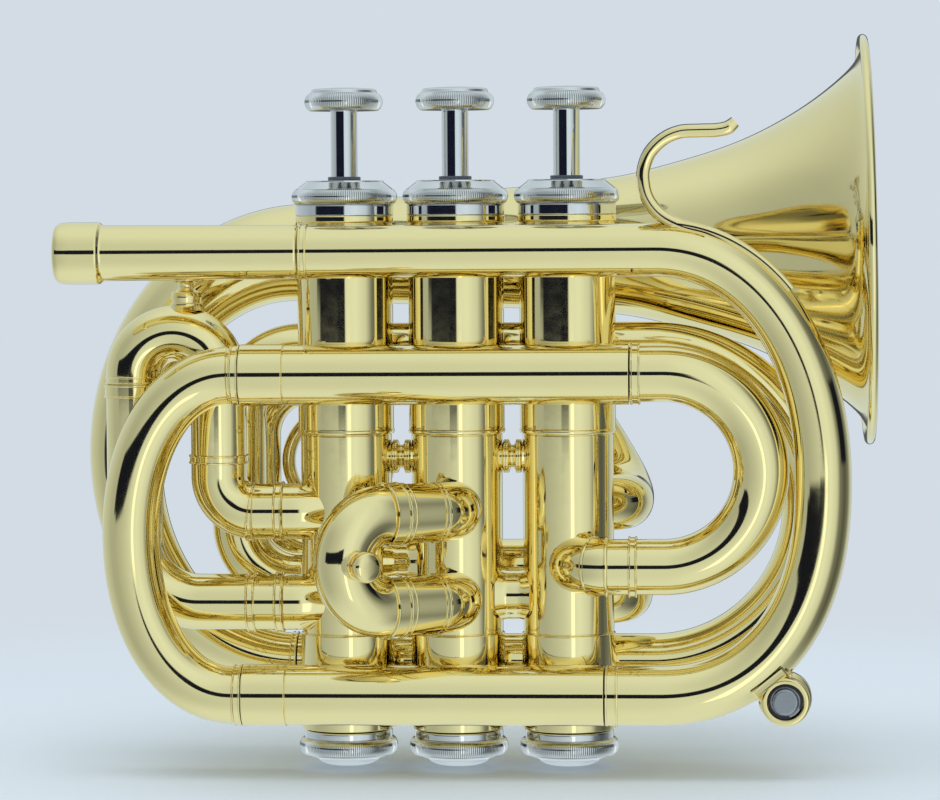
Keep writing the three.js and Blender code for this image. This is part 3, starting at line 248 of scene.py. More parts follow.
# ------------------------------------------------------------------ the workbench
def take(*pieces: Piece) -> Piece:
    """Selects these pieces alone, and makes the first one active.

    Args:
        pieces: what to select.

    Returns:
        The first piece.
    """
    bpy.ops.object.select_all(action="DESELECT")
    for piece in pieces:
        piece.select_set(True)
    bpy.context.view_layer.objects.active = pieces[0]
    return pieces[0]


def clean_up(piece: Piece, sharp: float = 30.0) -> Piece:
    """Closes seams and poles, turns the faces outwards and smooths all but the sharp edges.

    Args:
        piece: the mesh piece.
        sharp: the angle from which an edge stays sharp, in degrees.

    Returns:
        The piece.
    """
    take(piece)
    bpy.ops.object.mode_set(mode="EDIT")
    bpy.ops.mesh.select_all(action="SELECT")
    bpy.ops.mesh.remove_doubles(threshold=MERGE)
    bpy.ops.mesh.normals_make_consistent(inside=False)
    bpy.ops.object.mode_set(mode="OBJECT")
    bpy.ops.object.shade_smooth_by_angle(angle=math.radians(sharp))
    return piece


def put(piece: Piece, foot: Vector, turn: Matrix) -> Piece:
    """Turns and moves a piece made at the origin, and puts its place in its mesh.

    Args:
        piece: the piece.
        foot: where its origin goes, in millimetres.
        turn: how it is turned.

    Returns:
        The piece.
    """
    take(piece)
    piece.matrix_world = Matrix.Translation(foot * MM) @ turn.to_4x4()
    bpy.ops.object.transform_apply(location=True, rotation=True, scale=True)
    return piece


def joined(name: str, *pieces: Piece) -> Piece:
    """Joins pieces into one.

    Args:
        name: the new piece's name.
        pieces: what to join.

    Returns:
        The joined piece.
    """
    whole = take(*pieces)
    if len(pieces) > 1:
        bpy.ops.object.join()
    whole.name = name
    return whole


def copied(piece: Piece, name: str, shift: Vector) -> Piece:
    """Copies a piece with its own mesh to another place.

    Args:
        piece: the piece to copy.
        name: the copy's name.
        shift: how far to move the copy, in millimetres.

    Returns:
        The copy.
    """
    take(piece)
    bpy.ops.object.duplicate(linked=False)
    copy = bpy.context.view_layer.objects.active
    copy.name = name
    bpy.ops.transform.translate(value=shift * MM)
    bpy.ops.object.transform_apply(location=True, rotation=True, scale=True)
    return copy


def scrap(piece: Piece) -> None:
    """Throws away a working piece."""
    bpy.data.objects.remove(piece, do_unlink=True)


def dress(piece: Piece, finish: Finish, body: Body, *nodes: str) -> Piece:
    """Finishes a piece, and makes it stand for its CAD nodes on their body.

    Args:
        piece: the finished mesh.
        finish: its finish.
        body: what it moves with.
        nodes: the CAD nodes that it replaces.

    Returns:
        The piece.
    """
    piece.data.materials.clear()
    piece.data.materials.append(finish.material())
    piece.data.polygons.foreach_set("material_index", [0] * len(piece.data.polygons))
    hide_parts(*nodes)
    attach(piece, body.value)
    log.info("%s: %d faces, %s, on %s", piece.name, len(piece.data.polygons), finish.name, body.value)
    return piece


# ------------------------------------------------------------------ the lathe
def softened(corners: Iterable[Corner], steps: int = 5) -> Profile:
    """Rounds the corners of a profile.

    Args:
        corners: radius, place along the axis and, if rounded, by how much.
        steps: how many edges a rounded corner gets.

    Returns:
        The finished profile.
    """
    points = [Vector(corner[:2]) for corner in corners]
    rounding = [corner[2] if len(corner) > 2 else 0.0 for corner in corners]
    profile: Profile = []
    for k, (point, size) in enumerate(zip(points, rounding)):
        if not size or k in (0, len(points) - 1):
            profile.append(tuple(point))
            continue
        back, on = points[k - 1] - point, points[k + 1] - point
        start = point + back.normalized() * min(size, 0.49 * back.length)
        end = point + on.normalized() * min(size, 0.49 * on.length)
        for step in range(steps + 1):
            t = step / steps
            profile.append(tuple(start * (1 - t) ** 2 + point * (2 * t * (1 - t)) + end * t * t))
    return profile


def closed(corners: Iterable[Corner]) -> Profile:
    """Rounds the corners of a profile and leads it back to its start."""
    profile = softened(corners)
    return profile + profile[:1]


def tyre(low: float, high: float, shoulder: float, crest: float, steps: int = 12) -> Profile:
    """Rounds a rim like a tyre.

    Args:
        low: where it starts along the axis.
        high: where it ends.
        shoulder: its radius at both ends.
        crest: its radius in the middle.
        steps: how many edges it gets.

    Returns:
        The rim's part of a profile.
    """
    half, rise = (high - low) / 2, crest - shoulder
    curve = (half * half + rise * rise) / (2 * rise)
    return [(crest - curve + math.sqrt(curve ** 2 - (half * (2 * k / steps - 1)) ** 2), low + (high - low) * k / steps)
            for k in range(steps + 1)]


def braced(profile: Profile, near: float = 0.12, short: float = 0.35) -> Profile:
    """Sets a ring close to each end of a long face, so that the face shades as straight as it is.

    Args:
        profile: radius and place along the axis.
        near: how close the rings stand to the face's ends.
        short: a face's neighbour gets a ring beside it if it is shorter than this share of the face.

    Returns:
        The profile with the rings added.
    """
    points = [Vector(point) for point in profile]
    lengths = [math.inf, *((end - start).length for start, end in zip(points, points[1:])), math.inf]
    rings = [points[0]]
    for start, end, before, length, after in zip(points, points[1:], lengths, lengths[1:], lengths[2:]):
        step = (end - start).normalized() * near
        if length > 4 * near and before < short * length:
            rings.append(start + step)
        if length > 4 * near and after < short * length:
            rings.append(end - step)
        rings.append(end)
    return [tuple(ring) for ring in rings]


@dataclass(frozen=True)
class Knurl:
    """A band of straight teeth: its heights along the axis and how deep they are cut."""
    low: float
    high: float
    teeth: int
    depth: float = 0.32

    def press(self, piece: Piece) -> None:
        """Presses every third meridian of the band inwards, so that flat-topped teeth stand up between.

        Args:
            piece: the turned piece, still along Z at the origin.
        """
        radius = 0.0
        for point in piece.data.vertices:
            across = math.hypot(point.co.x, point.co.y)
            meridian = round(math.atan2(point.co.y, point.co.x) / math.tau * 3 * self.teeth)
            in_band = self.low - TWICE <= point.co.z / MM <= self.high + TWICE
            point.select = in_band and meridian % 3 == 1 and across > 4 * MM
            radius = max(radius, across if in_band else 0.0)
        share = 1 - self.depth * MM / radius
        bpy.ops.object.mode_set(mode="EDIT")
        bpy.ops.transform.resize(value=(share, share, 1), center_override=(0, 0, 0))
        bpy.ops.object.mode_set(mode="OBJECT")


def turned(name: str, profile: Profile, foot: Vector, axis: Vector, steps: int = 128, sweep: float = math.tau,
           knurl: Knurl | None = None) -> Piece:
    """Turns a piece on the lathe.

    Args:
        name: the piece's name.
        profile: radius and place along the axis, point by point, in millimetres.
        foot: where the axis starts.
        axis: its direction.
        steps: how many facets round.
        sweep: how far round the profile is swept.
        knurl: teeth to press into it.

    Returns:
        The piece in its place.
    """
    profile = braced(profile)
    bpy.ops.object.select_all(action="DESELECT")
    bpy.ops.mesh.primitive_plane_add(size=MM, location=(0, 0, 0))
    piece = bpy.context.object
    piece.name = name
    bpy.ops.object.mode_set(mode="EDIT")
    bpy.ops.mesh.select_mode(type="VERT")
    bpy.ops.mesh.select_all(action="SELECT")
    bpy.ops.mesh.merge(type="CENTER")
    bpy.ops.transform.translate(value=(profile[0][0] * MM, 0, profile[0][1] * MM))
    for (r0, h0), (r1, h1) in zip(profile, profile[1:]):
        bpy.ops.mesh.extrude_region_move(TRANSFORM_OT_translate={"value": ((r1 - r0) * MM, 0, (h1 - h0) * MM)})
    bpy.ops.mesh.select_all(action="SELECT")
    bpy.ops.mesh.spin(steps=3 * knurl.teeth if knurl else steps, angle=sweep, center=(0, 0, 0), axis=(0, 0, 1))
    bpy.ops.mesh.select_all(action="SELECT")
    bpy.ops.mesh.remove_doubles(threshold=MERGE)
    if sweep < math.tau:
        bpy.ops.mesh.fill_holes(sides=0)
    bpy.ops.mesh.select_all(action="DESELECT")
    bpy.ops.object.mode_set(mode="OBJECT")
    if knurl:
        knurl.press(piece)
    put(piece, foot, Z.rotation_difference(axis).to_matrix())
    return clean_up(piece)


# ------------------------------------------------------------------ bent tube
@dataclass
class Collar:
    """A ferrule or ring round a tube, from one length along it to another."""
    start: float
    end: float
    radius: float
    clear: float = 0.45
    groove: float = 0.07

    def covers(self, length: float) -> bool:
        """Whether the tube's own surface gives way to the collar there."""
        return self.start - self.clear < length < self.end + self.clear

    def surface(self, before: float, after: float) -> list[tuple[float, float]]:
        """Works out the collar's surface, with a bead at each end and a groove beside it.

        Args:
            before: the tube's radius before the collar.
            after: its radius behind it.

        Returns:
            Lengths along the tube and radii there.
        """
        bead = min(0.25, 0.45 * (self.radius - min(before, after)))
        wide = min(0.5, 0.3 * (self.end - self.start))
        top, low, cut, inner = self.radius, self.radius - bead, before - self.groove, wide + 0.12
        edge = [(-0.4, before), (-0.14, before), (-0.11, cut), (-0.02, cut), (0, low), (0.1 * wide, top - 0.3 * bead),
                (0.35 * wide, top), (0.65 * wide, top), (0.9 * wide, top - 0.4 * bead), (wide, low), (inner, low)]
        line = [(self.start + offset, radius) for offset, radius in edge]
        line += [(self.start + inner + (self.end - self.start - 2 * inner) * k / 6, low) for k in range(1, 6)]
        return line + [(self.end - offset, radius + (after - before if offset < 0 else 0))
                       for offset, radius in reversed(edge)]


@dataclass
class Route:
    """A tube's centre line and radius, run by run, in millimetres."""
    points: list[Vector] = field(default_factory=list)
    radii: list[float] = field(default_factory=list)
    collars: list[Collar] = field(default_factory=list)

    def stop(self, point: Vector, radius: float) -> "Route":
        """Adds one place, unless the tube is already there."""
        if not self.points or (point - self.points[-1]).length > TWICE:
            self.points.append(point.copy())
            self.radii.append(radius)
        return self

    def run(self, start: Vector, end: Vector, radius: float) -> "Route":
        """Adds a straight run."""
        return self.stop(start, radius).stop(end, radius)

    def ringed(self, start: Vector, end: Vector, radius: float, ring: float) -> "Route":
        """Adds a straight run under a ring of this outer radius."""
        return self.stop(start, radius).collar((end - start).length, ring).stop(end, radius)

    def follow(self, other: "Route") -> "Route":
        """Adds another route's places."""
        for point, radius in zip(other.points, other.radii):
            self.stop(point, radius)
        return self

    def bow(self, centre: Vector, start: Vector, bulge: Vector, radius: float, end_radius: float | None = None,
            turn: float = math.pi / 2, fullness: float = 2.0, swell: float = 1.0, steps: int = 40) -> "Route":
        """Adds part of an oval or squared-off oval.

        Args:
            centre: the oval's centre.
            start: from the centre to where the bow starts.
            bulge: from the centre to its outermost point.
            radius: the tube's radius.
            end_radius: the radius at the end, if another.
            turn: how far round the bow goes.
            fullness: 2 for an oval, more for a squarer one.
            swell: how late along the bow the radius changes.
            steps: how many places.

        Returns:
            The route.
        """
        end_radius = radius if end_radius is None else end_radius
        for k in range(steps + 1):
            c, s = math.cos(turn * k / steps), math.sin(turn * k / steps)
            along, out = math.copysign(abs(c) ** (2 / fullness), c), abs(s) ** (2 / fullness)
            self.stop(centre + start * along + bulge * out, radius + (end_radius - radius) * (k / steps) ** swell)
        return self

    def through(self, points: Sequence[Vector], radius: float, steps: int = 10) -> "Route":
        """Adds a smooth line through points."""
        line = smooth_line(points, steps)
        return self.follow(Route(line, [radius] * len(line)))

    def collar(self, length: float, radius: float) -> "Route":
        """Puts a collar of this length and outer radius on the next stretch of the tube."""
        start = sum((b - a).length for a, b in zip(self.points, self.points[1:]))
        self.collars.append(Collar(start, start + length, radius))
        return self

    def stations(self) -> list[tuple[Vector, float]]:
        """Works out every place on the tube, with its collars' grooves and beads.

        Returns:
            Points and radii in order.
        """
        reach = [0.0]
        for a, b in zip(self.points, self.points[1:]):
            reach.append(reach[-1] + (b - a).length)

        def at(length: float) -> tuple[Vector, float]:
            """The tube's centre and radius at a length along it."""
            k = min(max(bisect_left(reach, length), 1), len(reach) - 1)
            share = (length - reach[k - 1]) / (reach[k] - reach[k - 1])
            radius = self.radii[k - 1] * (1 - share) + self.radii[k] * share
            return self.points[k - 1].lerp(self.points[k], share), radius

        places = [(length, *at(length)) for length in reach if not any(c.covers(length) for c in self.collars)]
        for c in self.collars:
            before, after = at(max(c.start - 0.25, 0))[1], at(min(c.end + 0.25, reach[-1]))[1]
            places += [(length, at(length)[0], radius) for length, radius in c.surface(before, after)]
        kept: list[tuple[float, Vector, float]] = []
        for place in sorted(places, key=lambda one: one[0]):
            on_tube = -MERGE <= place[0] <= reach[-1] + MERGE
            if on_tube and (not kept or place[0] - kept[-1][0] > 5e-3):
                kept.append(place)
        return [(point, radius) for _, point, radius in kept]


@dataclass(frozen=True)
class SlideFit:
    """How a crook fits its two legs: its inner tubes, and the ferrules that stop it at the legs' mouths."""
    inner_radius: float
    inner_length: float
    ferrule: float
    ferrule_radius: float
    step: float = 0.01            # how far in from its stop the last inner tube starts

    def crook(self, first: Vector, last: Vector, out: Vector, bend: Route) -> Route:
        """Leads a crook from one leg to the other.

        Args:
            first: where its first ferrule stops.
            last: where its last ferrule stops.
            out: the way the slide pulls.
            bend: the bend between the ferrules.

        Returns:
            The route from the first inner tube to the last.
        """
        inside, over = out * self.inner_length, out * self.ferrule
        route = Route().run(first - inside, first, self.inner_radius)
        route.ringed(first, first + over, self.inner_radius, self.ferrule_radius).follow(bend)
        route.ringed(last + over, last, bend.radii[-1], self.ferrule_radius)
        return route.run(last - out * self.step, last - inside, self.inner_radius)


def between(a: Vector, b: Vector, low: float, high: float, t: float) -> Vector:
    """The point at t on the way from a, at low, to b, at high."""
    return a * ((high - t) / (high - low)) + b * ((t - low) / (high - low))


def smooth_line(points: Sequence[Vector], steps: int) -> list[Vector]:
    """Draws a smooth line through points, without loops between close ones.

    Args:
        points: the points to go through.
        steps: how many places from one point to the next.

    Returns:
        The line's points.
    """
    line: list[Vector] = []
    ends = [points[0] * 2 - points[1], *points, points[-1] * 2 - points[-2]]
    for p0, p1, p2, p3 in zip(ends, ends[1:], ends[2:], ends[3:]):
        t1 = (p1 - p0).length ** 0.5
        t2 = t1 + (p2 - p1).length ** 0.5
        t3 = t2 + (p3 - p2).length ** 0.5
        for k in range(steps):
            t = t1 + (t2 - t1) * k / steps
            a, b, c = between(p0, p1, 0, t1, t), between(p1, p2, t1, t2, t), between(p2, p3, t2, t3, t)
            line.append(between(between(a, b, 0, t2, t), between(b, c, t1, t3, t), t1, t2, t))
    line.append(points[-1].copy())
    return line


def tube(name: str, route: Route, section: Piece | None = None, tilt: float = 0.0, fineness: int = 22) -> Piece:
    """Draws a tube, or a strip of another section, along a route.

    Args:
        name: the piece's name.
        route: its centre line and radii.
        section: a curve for a section that isn't round.
        tilt: how far the section is turned.
        fineness: how finely a round section is divided.

    Returns:
        The piece.
    """
    bpy.ops.object.select_all(action="DESELECT")
    bpy.ops.curve.primitive_bezier_curve_add(location=(0, 0, 0))
    line = bpy.context.object.data
    line.splines.clear()
    spline = line.splines.new("POLY")
    stations = route.stations()
    spline.points.add(len(stations) - 1)
    for point, (centre, radius) in zip(spline.points, stations):
        point.co = (*(centre * MM), 1)
        point.radius = radius
        point.tilt = tilt
    if section:
        line.bevel_mode = "OBJECT"
        line.bevel_object = section
    else:
        line.bevel_depth = MM
        line.bevel_resolution = fineness
    line.use_fill_caps = True
    bpy.ops.object.convert(target="MESH")
    piece = bpy.context.view_layer.objects.active
    piece.name = name
    return clean_up(piece)


def strip(name: str, route: Route, wide: float, thick: float, rounding: float, tilt: float = 0.0) -> Piece:
    """Bends a flat strip with rounded edges along a route of radius 1.

    Args:
        name: the piece's name.
        route: its centre line.
        wide: half the strip's width.
        thick: half its thickness.
        rounding: how round its edges are.
        tilt: how far it is turned.

    Returns:
        The piece.
    """
    bpy.ops.object.select_all(action="DESELECT")
    bpy.ops.curve.primitive_bezier_circle_add(location=(0, 0, 0))
    section = bpy.context.object
    section.data.splines.clear()
    spline = section.data.splines.new("POLY")
    around = softened([(0, thick), (-wide, thick, rounding), (-wide, -thick, rounding), (0, -thick)], 6)
    around += [(-x, y) for x, y in reversed(around[1:-1])]
    spline.points.add(len(around) - 1)
    for point, (x, y) in zip(spline.points, around):
        point.co = (x * MM, y * MM, 0, 1)
    spline.use_cyclic_u = True
    piece = tube(name, route, section, tilt)
    scrap(section)
    return piece


def wound(name: str, foot: Vector, axis: Vector, across: Vector, length: float, wire: float, radius: float,
          curls: int) -> Piece:
    """Winds a spring.

    Args:
        name: the piece's name.
        foot: where it stands.
        axis: the way it stands.
        across: square to its axis and to X.
        length: its length.
        wire: the wire's radius.
        radius: from the axis to the wire.
        curls: how many turns it has.

    Returns:
        The spring.
    """
    route, steps = Route(), 24 * curls
    for k in range(steps + 1):
        turn = math.tau * k / 24
        along = wire + (length - 2 * wire) * k / steps
        route.stop(foot + X * (radius * math.cos(turn)) + across * (radius * math.sin(turn)) + axis * along, wire)
    return tube(name, route, fineness=3)


# ------------------------------------------------------------------ sizes that the sub-assemblies share
@dataclass(frozen=True)
class Layout:
    """Sizes used by more than one sub-assembly, in millimetres."""
    valve_pitch: float = 25.5
    ring_radius: float = 6.95
    ring_length: float = 2.0
    gap: float = 0.3
    closing: float = 0.22         # how much of the gap at a slide's mouth is closed
    lead_y: float = -17.5
    lead_z: float = 51.5
    lead_radius: float = 5.95
    lead_bow_x: float = 46.0
    lead_bow_reach: float = 37.3
    lead_upper_fullness: float = 2.1
    main_y: float = -18.1
    main_upper_z: float = 23.8
    main_lower_z: float = -48.6
    main_left: float = -47.3
    main_upper_right: float = 40.0
    main_lower_right: float = 34.1
    coil_y: float = 17.8
    coil_top_z: float = 28.0
    coil_bottom_z: float = -45.0
    coil_radius: float = 6.45
    bell_y: float = 29.0
    tail_x: float = -39.0
    tail_z: float = 50.9
    throat_radius: float = 11.5

    @property
    def valve_x(self) -> tuple[float, float, float]:
        """The three valves' places."""
        return -self.valve_pitch, 0.0, self.valve_pitch


LAYOUT = Layout()


# ------------------------------------------------------------------ sub-assemblies
@dataclass
class LeadpipeSide:
    """Mouthpiece receiver and leadpipe with its wide right-hand bow."""
    receiver_end: float = -89.3
    receiver_joint: float = -34.2
    collar_end: float = -79.3
    socket_radius: float = 5.15
    socket_depth: float = 22.0
    bore: float = 4.6
    joint_collar: float = 1.8
    joint_radius: float = 6.35
    bow_radius: float = 6.35
    foot_radius: float = 6.7
    foot_collar: float = 2.8
    lower_fullness: float = 2.3

    def receiver(self) -> None:
        """Turns the receiver with its rounded nose, thick collar and tapered socket."""
        end, collar, joint = self.receiver_end, self.collar_end, self.receiver_joint
        depth = end + self.socket_depth
        profile = softened([
            (0, depth), (self.bore, depth, 0.4), (self.socket_radius, end + 0.5, 0.3), (5.5, end, 0.25),
            (6.15, end, 0.5), (6.8, end + 0.9, 0.7), (7.0, end + 2.8, 1.2), (7.0, collar, 0.4),
            (6.6, collar + 0.35, 0.3), (6.27, collar + 0.7, 0.5), (6.05, joint - 0.4, 0.3), (5.8, joint, 0.1),
            (0, joint)])
        piece = turned("mouthpiece_receiver_tube", profile, spot(0, LAYOUT.lead_y, LAYOUT.lead_z), X, 144)
        dress(piece, BRASS, Body.INSTRUMENT, "mouthpiece_receiver")

    def leadpipe(self) -> None:
        """Bends the leadpipe, with the ferrules at both its ends."""
        y, z, bow_x = LAYOUT.lead_y, LAYOUT.lead_z, LAYOUT.lead_bow_x
        low_y, low_z = LAYOUT.main_y, LAYOUT.main_lower_z
        start, foot = self.receiver_joint + LAYOUT.gap, LAYOUT.main_lower_right + LAYOUT.gap
        collar = spot(foot + self.foot_collar, low_y, low_z)
        centre, reach = spot(bow_x, y, 0), X * LAYOUT.lead_bow_reach
        route = Route().collar(self.joint_collar, self.joint_radius)
        route.run(spot(start, y, z), spot(bow_x, y, z), LAYOUT.lead_radius)
        route.bow(centre, Z * z, reach, LAYOUT.lead_radius, self.bow_radius,
                  fullness=LAYOUT.lead_upper_fullness, steps=64)
        route.bow(centre, reach, spot(0, low_y - y, low_z), self.bow_radius, self.foot_radius,
                  fullness=self.lower_fullness, steps=64)
        route.run(spot(bow_x, low_y, low_z), collar, self.foot_radius)
        route.ringed(collar, spot(foot, low_y, low_z), self.foot_radius, LAYOUT.ring_radius)
        dress(tube("leadpipe_tube", route), BRASS, Body.INSTRUMENT, "leadpipe")

    def build(self) -> None:
        """Builds and dresses the sub-assembly."""
        self.receiver()
        self.leadpipe()


@dataclass
class MainTuningSlide:
    """The long slide in front: two outer legs and the crook that slides in them."""
    outer_radius: float = 6.85
    groove_radius: float = 6.72
    sleeve_radius: float = 7.0
    sleeve_length: float = 9.9
    fit: SlideFit = SlideFit(6.05, 42.0, 2.0, LAYOUT.ring_radius, -0.01)
    crook_radius: float = 6.45
    crook_reach: float = 23.2
    crook_fullness: float = 2.1

    def outer_leg(self, name: str, right: float, z: float) -> None:
        """Turns an outer leg with the sleeve at its mouth.

        Args:
            name: the leg's CAD node.
            right: where it ends.
            z: its height.
        """
        left, bore = LAYOUT.main_left - LAYOUT.closing, self.fit.inner_radius + LAYOUT.gap
        sleeve = left + self.sleeve_length
        profile = closed([
            (bore, left), (self.sleeve_radius, left, 0.3), (self.sleeve_radius, sleeve - 0.1, 0.1),
            (self.groove_radius, sleeve, 0.03), (self.groove_radius, sleeve + 0.12, 0.03),
            (self.outer_radius, sleeve + 0.2, 0.05), (self.outer_radius, right, 0.1), (bore, right)])
        piece = turned(f"{name}_tube", profile, spot(0, LAYOUT.main_y, z), X, 144)
        dress(piece, BRASS, Body.INSTRUMENT, name)

    def crook(self) -> None:
        """Bends the sliding crook with its two inner legs."""
        upper, lower = (spot(LAYOUT.main_left - LAYOUT.gap, LAYOUT.main_y, z)
                        for z in (LAYOUT.main_upper_z, LAYOUT.main_lower_z))
        middle = (upper + lower) / 2
        bend = Route().bow(middle - X * self.fit.ferrule, upper - middle, X * -self.crook_reach, self.crook_radius,
                           turn=math.pi, fullness=self.crook_fullness, steps=128)
        route = self.fit.crook(upper, lower, -X, bend)
        dress(tube("main_slide_crook", route), BRASS, Body.MAIN_SLIDE, "main_slide")

    def build(self) -> None:
        """Builds and dresses the sub-assembly."""
        self.outer_leg("main_slide_outer_leg_upper", LAYOUT.main_upper_right, LAYOUT.main_upper_z)
        self.outer_leg("main_slide_outer_leg_lower", LAYOUT.main_lower_right, LAYOUT.main_lower_z)
        self.crook()


@dataclass
class InletBow:
    """The bow that leads from the main slide's upper leg back to the third valve."""
    radius: float = 6.3
    z: float = -19.9
    y: float = -14.5
    bow_x: float = 47.7
    port_x: float = 27.5
    port_y: float = -2.0
    elbow: float = 7.5
    elbow_ring: float = 0.3       # the elbow's share that its ring covers
    ring_x: float = 39.6
    first_ring: float = 2.2

    def low(self, x: float) -> Vector:
        """A place on the lower run."""
        return spot(x, self.y, self.z)

    def build(self) -> None:
        """Bends and dresses the bow."""
        top = spot(self.bow_x, LAYOUT.main_y, LAYOUT.main_upper_z)
        middle = (top + self.low(self.bow_x)) / 2
        start, ring = LAYOUT.main_upper_right + LAYOUT.gap, self.low(self.ring_x)
        elbow = self.low(self.port_x + self.elbow)
        port = spot(self.port_x, self.y + self.elbow, self.z)
        route = Route().collar(self.first_ring, LAYOUT.ring_radius)
        route.run(spot(start, top.y, top.z), top, self.radius)
        route.bow(middle, top - middle, X * (top - middle).z, self.radius, turn=math.pi, steps=80)
        route.ringed(ring + X * LAYOUT.ring_length, ring, self.radius, LAYOUT.ring_radius)
        route.run(ring, elbow, self.radius)
        route.collar(self.elbow_ring * self.elbow * math.pi / 2, LAYOUT.ring_radius)
        route.bow(elbow + Y * self.elbow, Y * -self.elbow, X * -self.elbow, self.radius)
        route.run(port, spot(self.port_x, self.port_y, self.z), self.radius)
        dress(tube("valve_inlet_tube", route), BRASS, Body.INSTRUMENT, "valve_inlet_bow")


@dataclass
class ValveSection:
    """Three casings with their caps, stems and buttons, and what joins them."""
    casing_radius: float = 10.4
    casing_bore: float = 8.7
    casing_top: float = 59.6
    casing_bottom: float = -58.2
    sleeve_bottom: float = 9.9
    lower_sleeve_top: float = -36.2
    lower_sleeve_radius: float = 10.75
    cap_top: float = 67.6
    cap_ceiling: float = 63.4
    cap_bore: float = 8.9
    nub_floor: float = -64.0
    stem_foot: float = 61.8
    stem_radius: float = 3.05
    button_bottom: float = 83.6
    button_height: float = 3.95
    felt_low: float = 67.65
    felt_high: float = 68.5
    inner_felt_low: float = 61.6
    inner_felt_high: float = 63.3
    spool_z: float = 4.3
    cap_teeth: int = 150
    bottom_teeth: int = 144
    button_teeth: int = 108
    crossover_radius: float = 5.5
    spring_foot: float = 25.3
    spring_height: float = 33.9
    spring_radius: float = 5.9
    spring_wire: float = 0.5
    spring_curls: int = 13
    travel: float = 15.0

    def casings(self) -> None:
        """Turns the casings, with the spools between them on the middle one."""
        bore, r, top, foot = self.casing_bore, self.casing_radius, self.casing_top, self.casing_bottom
        low, high, lower = self.lower_sleeve_top, self.sleeve_bottom, self.lower_sleeve_radius
        cut = r - 0.12
        profile = closed([
            (bore, foot), (lower, foot, 0.25), (lower, low, 0.2), (r + 0.05, low + 0.12, 0.05), (cut, low + 0.16, 0.03),
            (cut, low + 0.3, 0.03), (r, low + 0.4, 0.05), (r, high - 0.5, 0.05), (cut, high - 0.4, 0.03),
            (cut, high - 0.2, 0.03), (10.85, high - 0.18, 0.05), (11.1, high + 0.15, 0.25), (11.1, high + 0.6, 0.25),
            (10.95, high + 0.85, 0.08), (10.95, top - 2.0, 0.05), (10.8, top - 1.9, 0.03), (10.8, top - 1.7, 0.03),
            (11.0, top - 1.62, 0.03), (11.25, top - 1.5, 0.25), (11.25, top, 0.3), (bore, top)])
        blank = turned("casing_blank", profile, ORIGIN, Z, 160)
        for number, x in enumerate(LAYOUT.valve_x, 1):
            parts = [copied(blank, f"casing_{number}", X * x)]
            if number == 2:
                parts += [self.spool(-1), self.spool(1)]
            dress(joined(f"valve_casing_{number}_body", *parts), BRASS, Body.INSTRUMENT, f"valve_casing_{number}")
        scrap(blank)

    def spool(self, side: int) -> Piece:
        """Turns a spool with its two flanges.

        Args:
            side: -1 for the left spool, 1 for the right one.

        Returns:
            The spool.
        """
        start = self.casing_radius - 0.7
        end = LAYOUT.valve_pitch - start
        half = [(0, 0), (3.0, 0), (3.1, 0.85, 0.2), (3.85, 1.05, 0.3), (3.85, 1.5, 0.1), (3.6, 1.6, 0.08),
                (3.85, 1.7, 0.1), (3.85, 2.2, 0.35), (3.0, 2.5, 0.3), (2.6, 2.75, 0.2)]
        profile = softened([(r, start + h, *size) for r, h, *size in half]
                           + [(r, end - h, *size) for r, h, *size in reversed(half)])
        return turned("spool", profile, Z * self.spool_z, X * side, 64)

    def top_cap(self) -> Piece:
        """Turns a top cap with its knurled band and cone.

        Returns:
            The cap at the middle valve.
        """
        foot, top, bore, ceiling = self.casing_top + 0.03, self.cap_top, self.cap_bore, self.cap_ceiling
        band, crest = foot + 2.37, foot + 5.97
        low = band + 0.16
        profile = softened([
            (bore, foot), (11.2, foot, 0.08), (11.25, foot + 0.1, 0.05), (11.25, band - 0.12, 0.08),
            (11.05, band - 0.06, 0.03), (11.05, band + 0.02, 0.03), (11.35, band + 0.12, 0.05)], 4)
        profile += tyre(low, crest, 11.2, 12.1)
        profile += softened([
            (11.15, crest + 0.02), (11.0, crest + 0.1, 0.1), (8.95, top - 0.32, 0.12), (8.95, top - 0.02, 0.08),
            (8.6, top, 0.1), (3.6, top, 0.2), (3.45, top - 0.3, 0.1), (3.45, ceiling), (bore, ceiling),
            (bore, foot)], 4)
        return turned("top_cap_blank", profile, ORIGIN, Z, knurl=Knurl(low, crest, self.cap_teeth))

    def bottom_cap(self) -> Piece:
        """Turns a bottom cap with its knurled band, cone and nub.

        Returns:
            The cap at the middle valve.
        """
        ring, floor = self.casing_bottom - LAYOUT.gap, self.nub_floor
        band, foot = ring - 1.9, ring - 5.6
        profile = softened([
            (8.3, floor), (8.3, ring), (9.95, ring, 0.2), (10.2, ring - 0.3, 0.25), (10.2, band + 0.25, 0.1),
            (10.05, band + 0.12, 0.05), (10.4, band + 0.06, 0.05)], 4)
        profile += tyre(band, foot, 10.5, 11.38)
        profile += softened([
            (10.45, foot - 0.02), (10.2, foot - 0.1, 0.1), (7.5, floor - 1.15, 0.5), (7.1, floor - 1.35, 0.15),
            (6.9, floor - 1.65, 0.15), (5.4, floor - 2.5, 1.0), (3.0, floor - 2.8, 1.0), (0, floor - 2.85)], 4)
        return turned("bottom_cap_blank", [(0, floor), *profile], ORIGIN, Z, knurl=Knurl(foot, band, self.bottom_teeth))

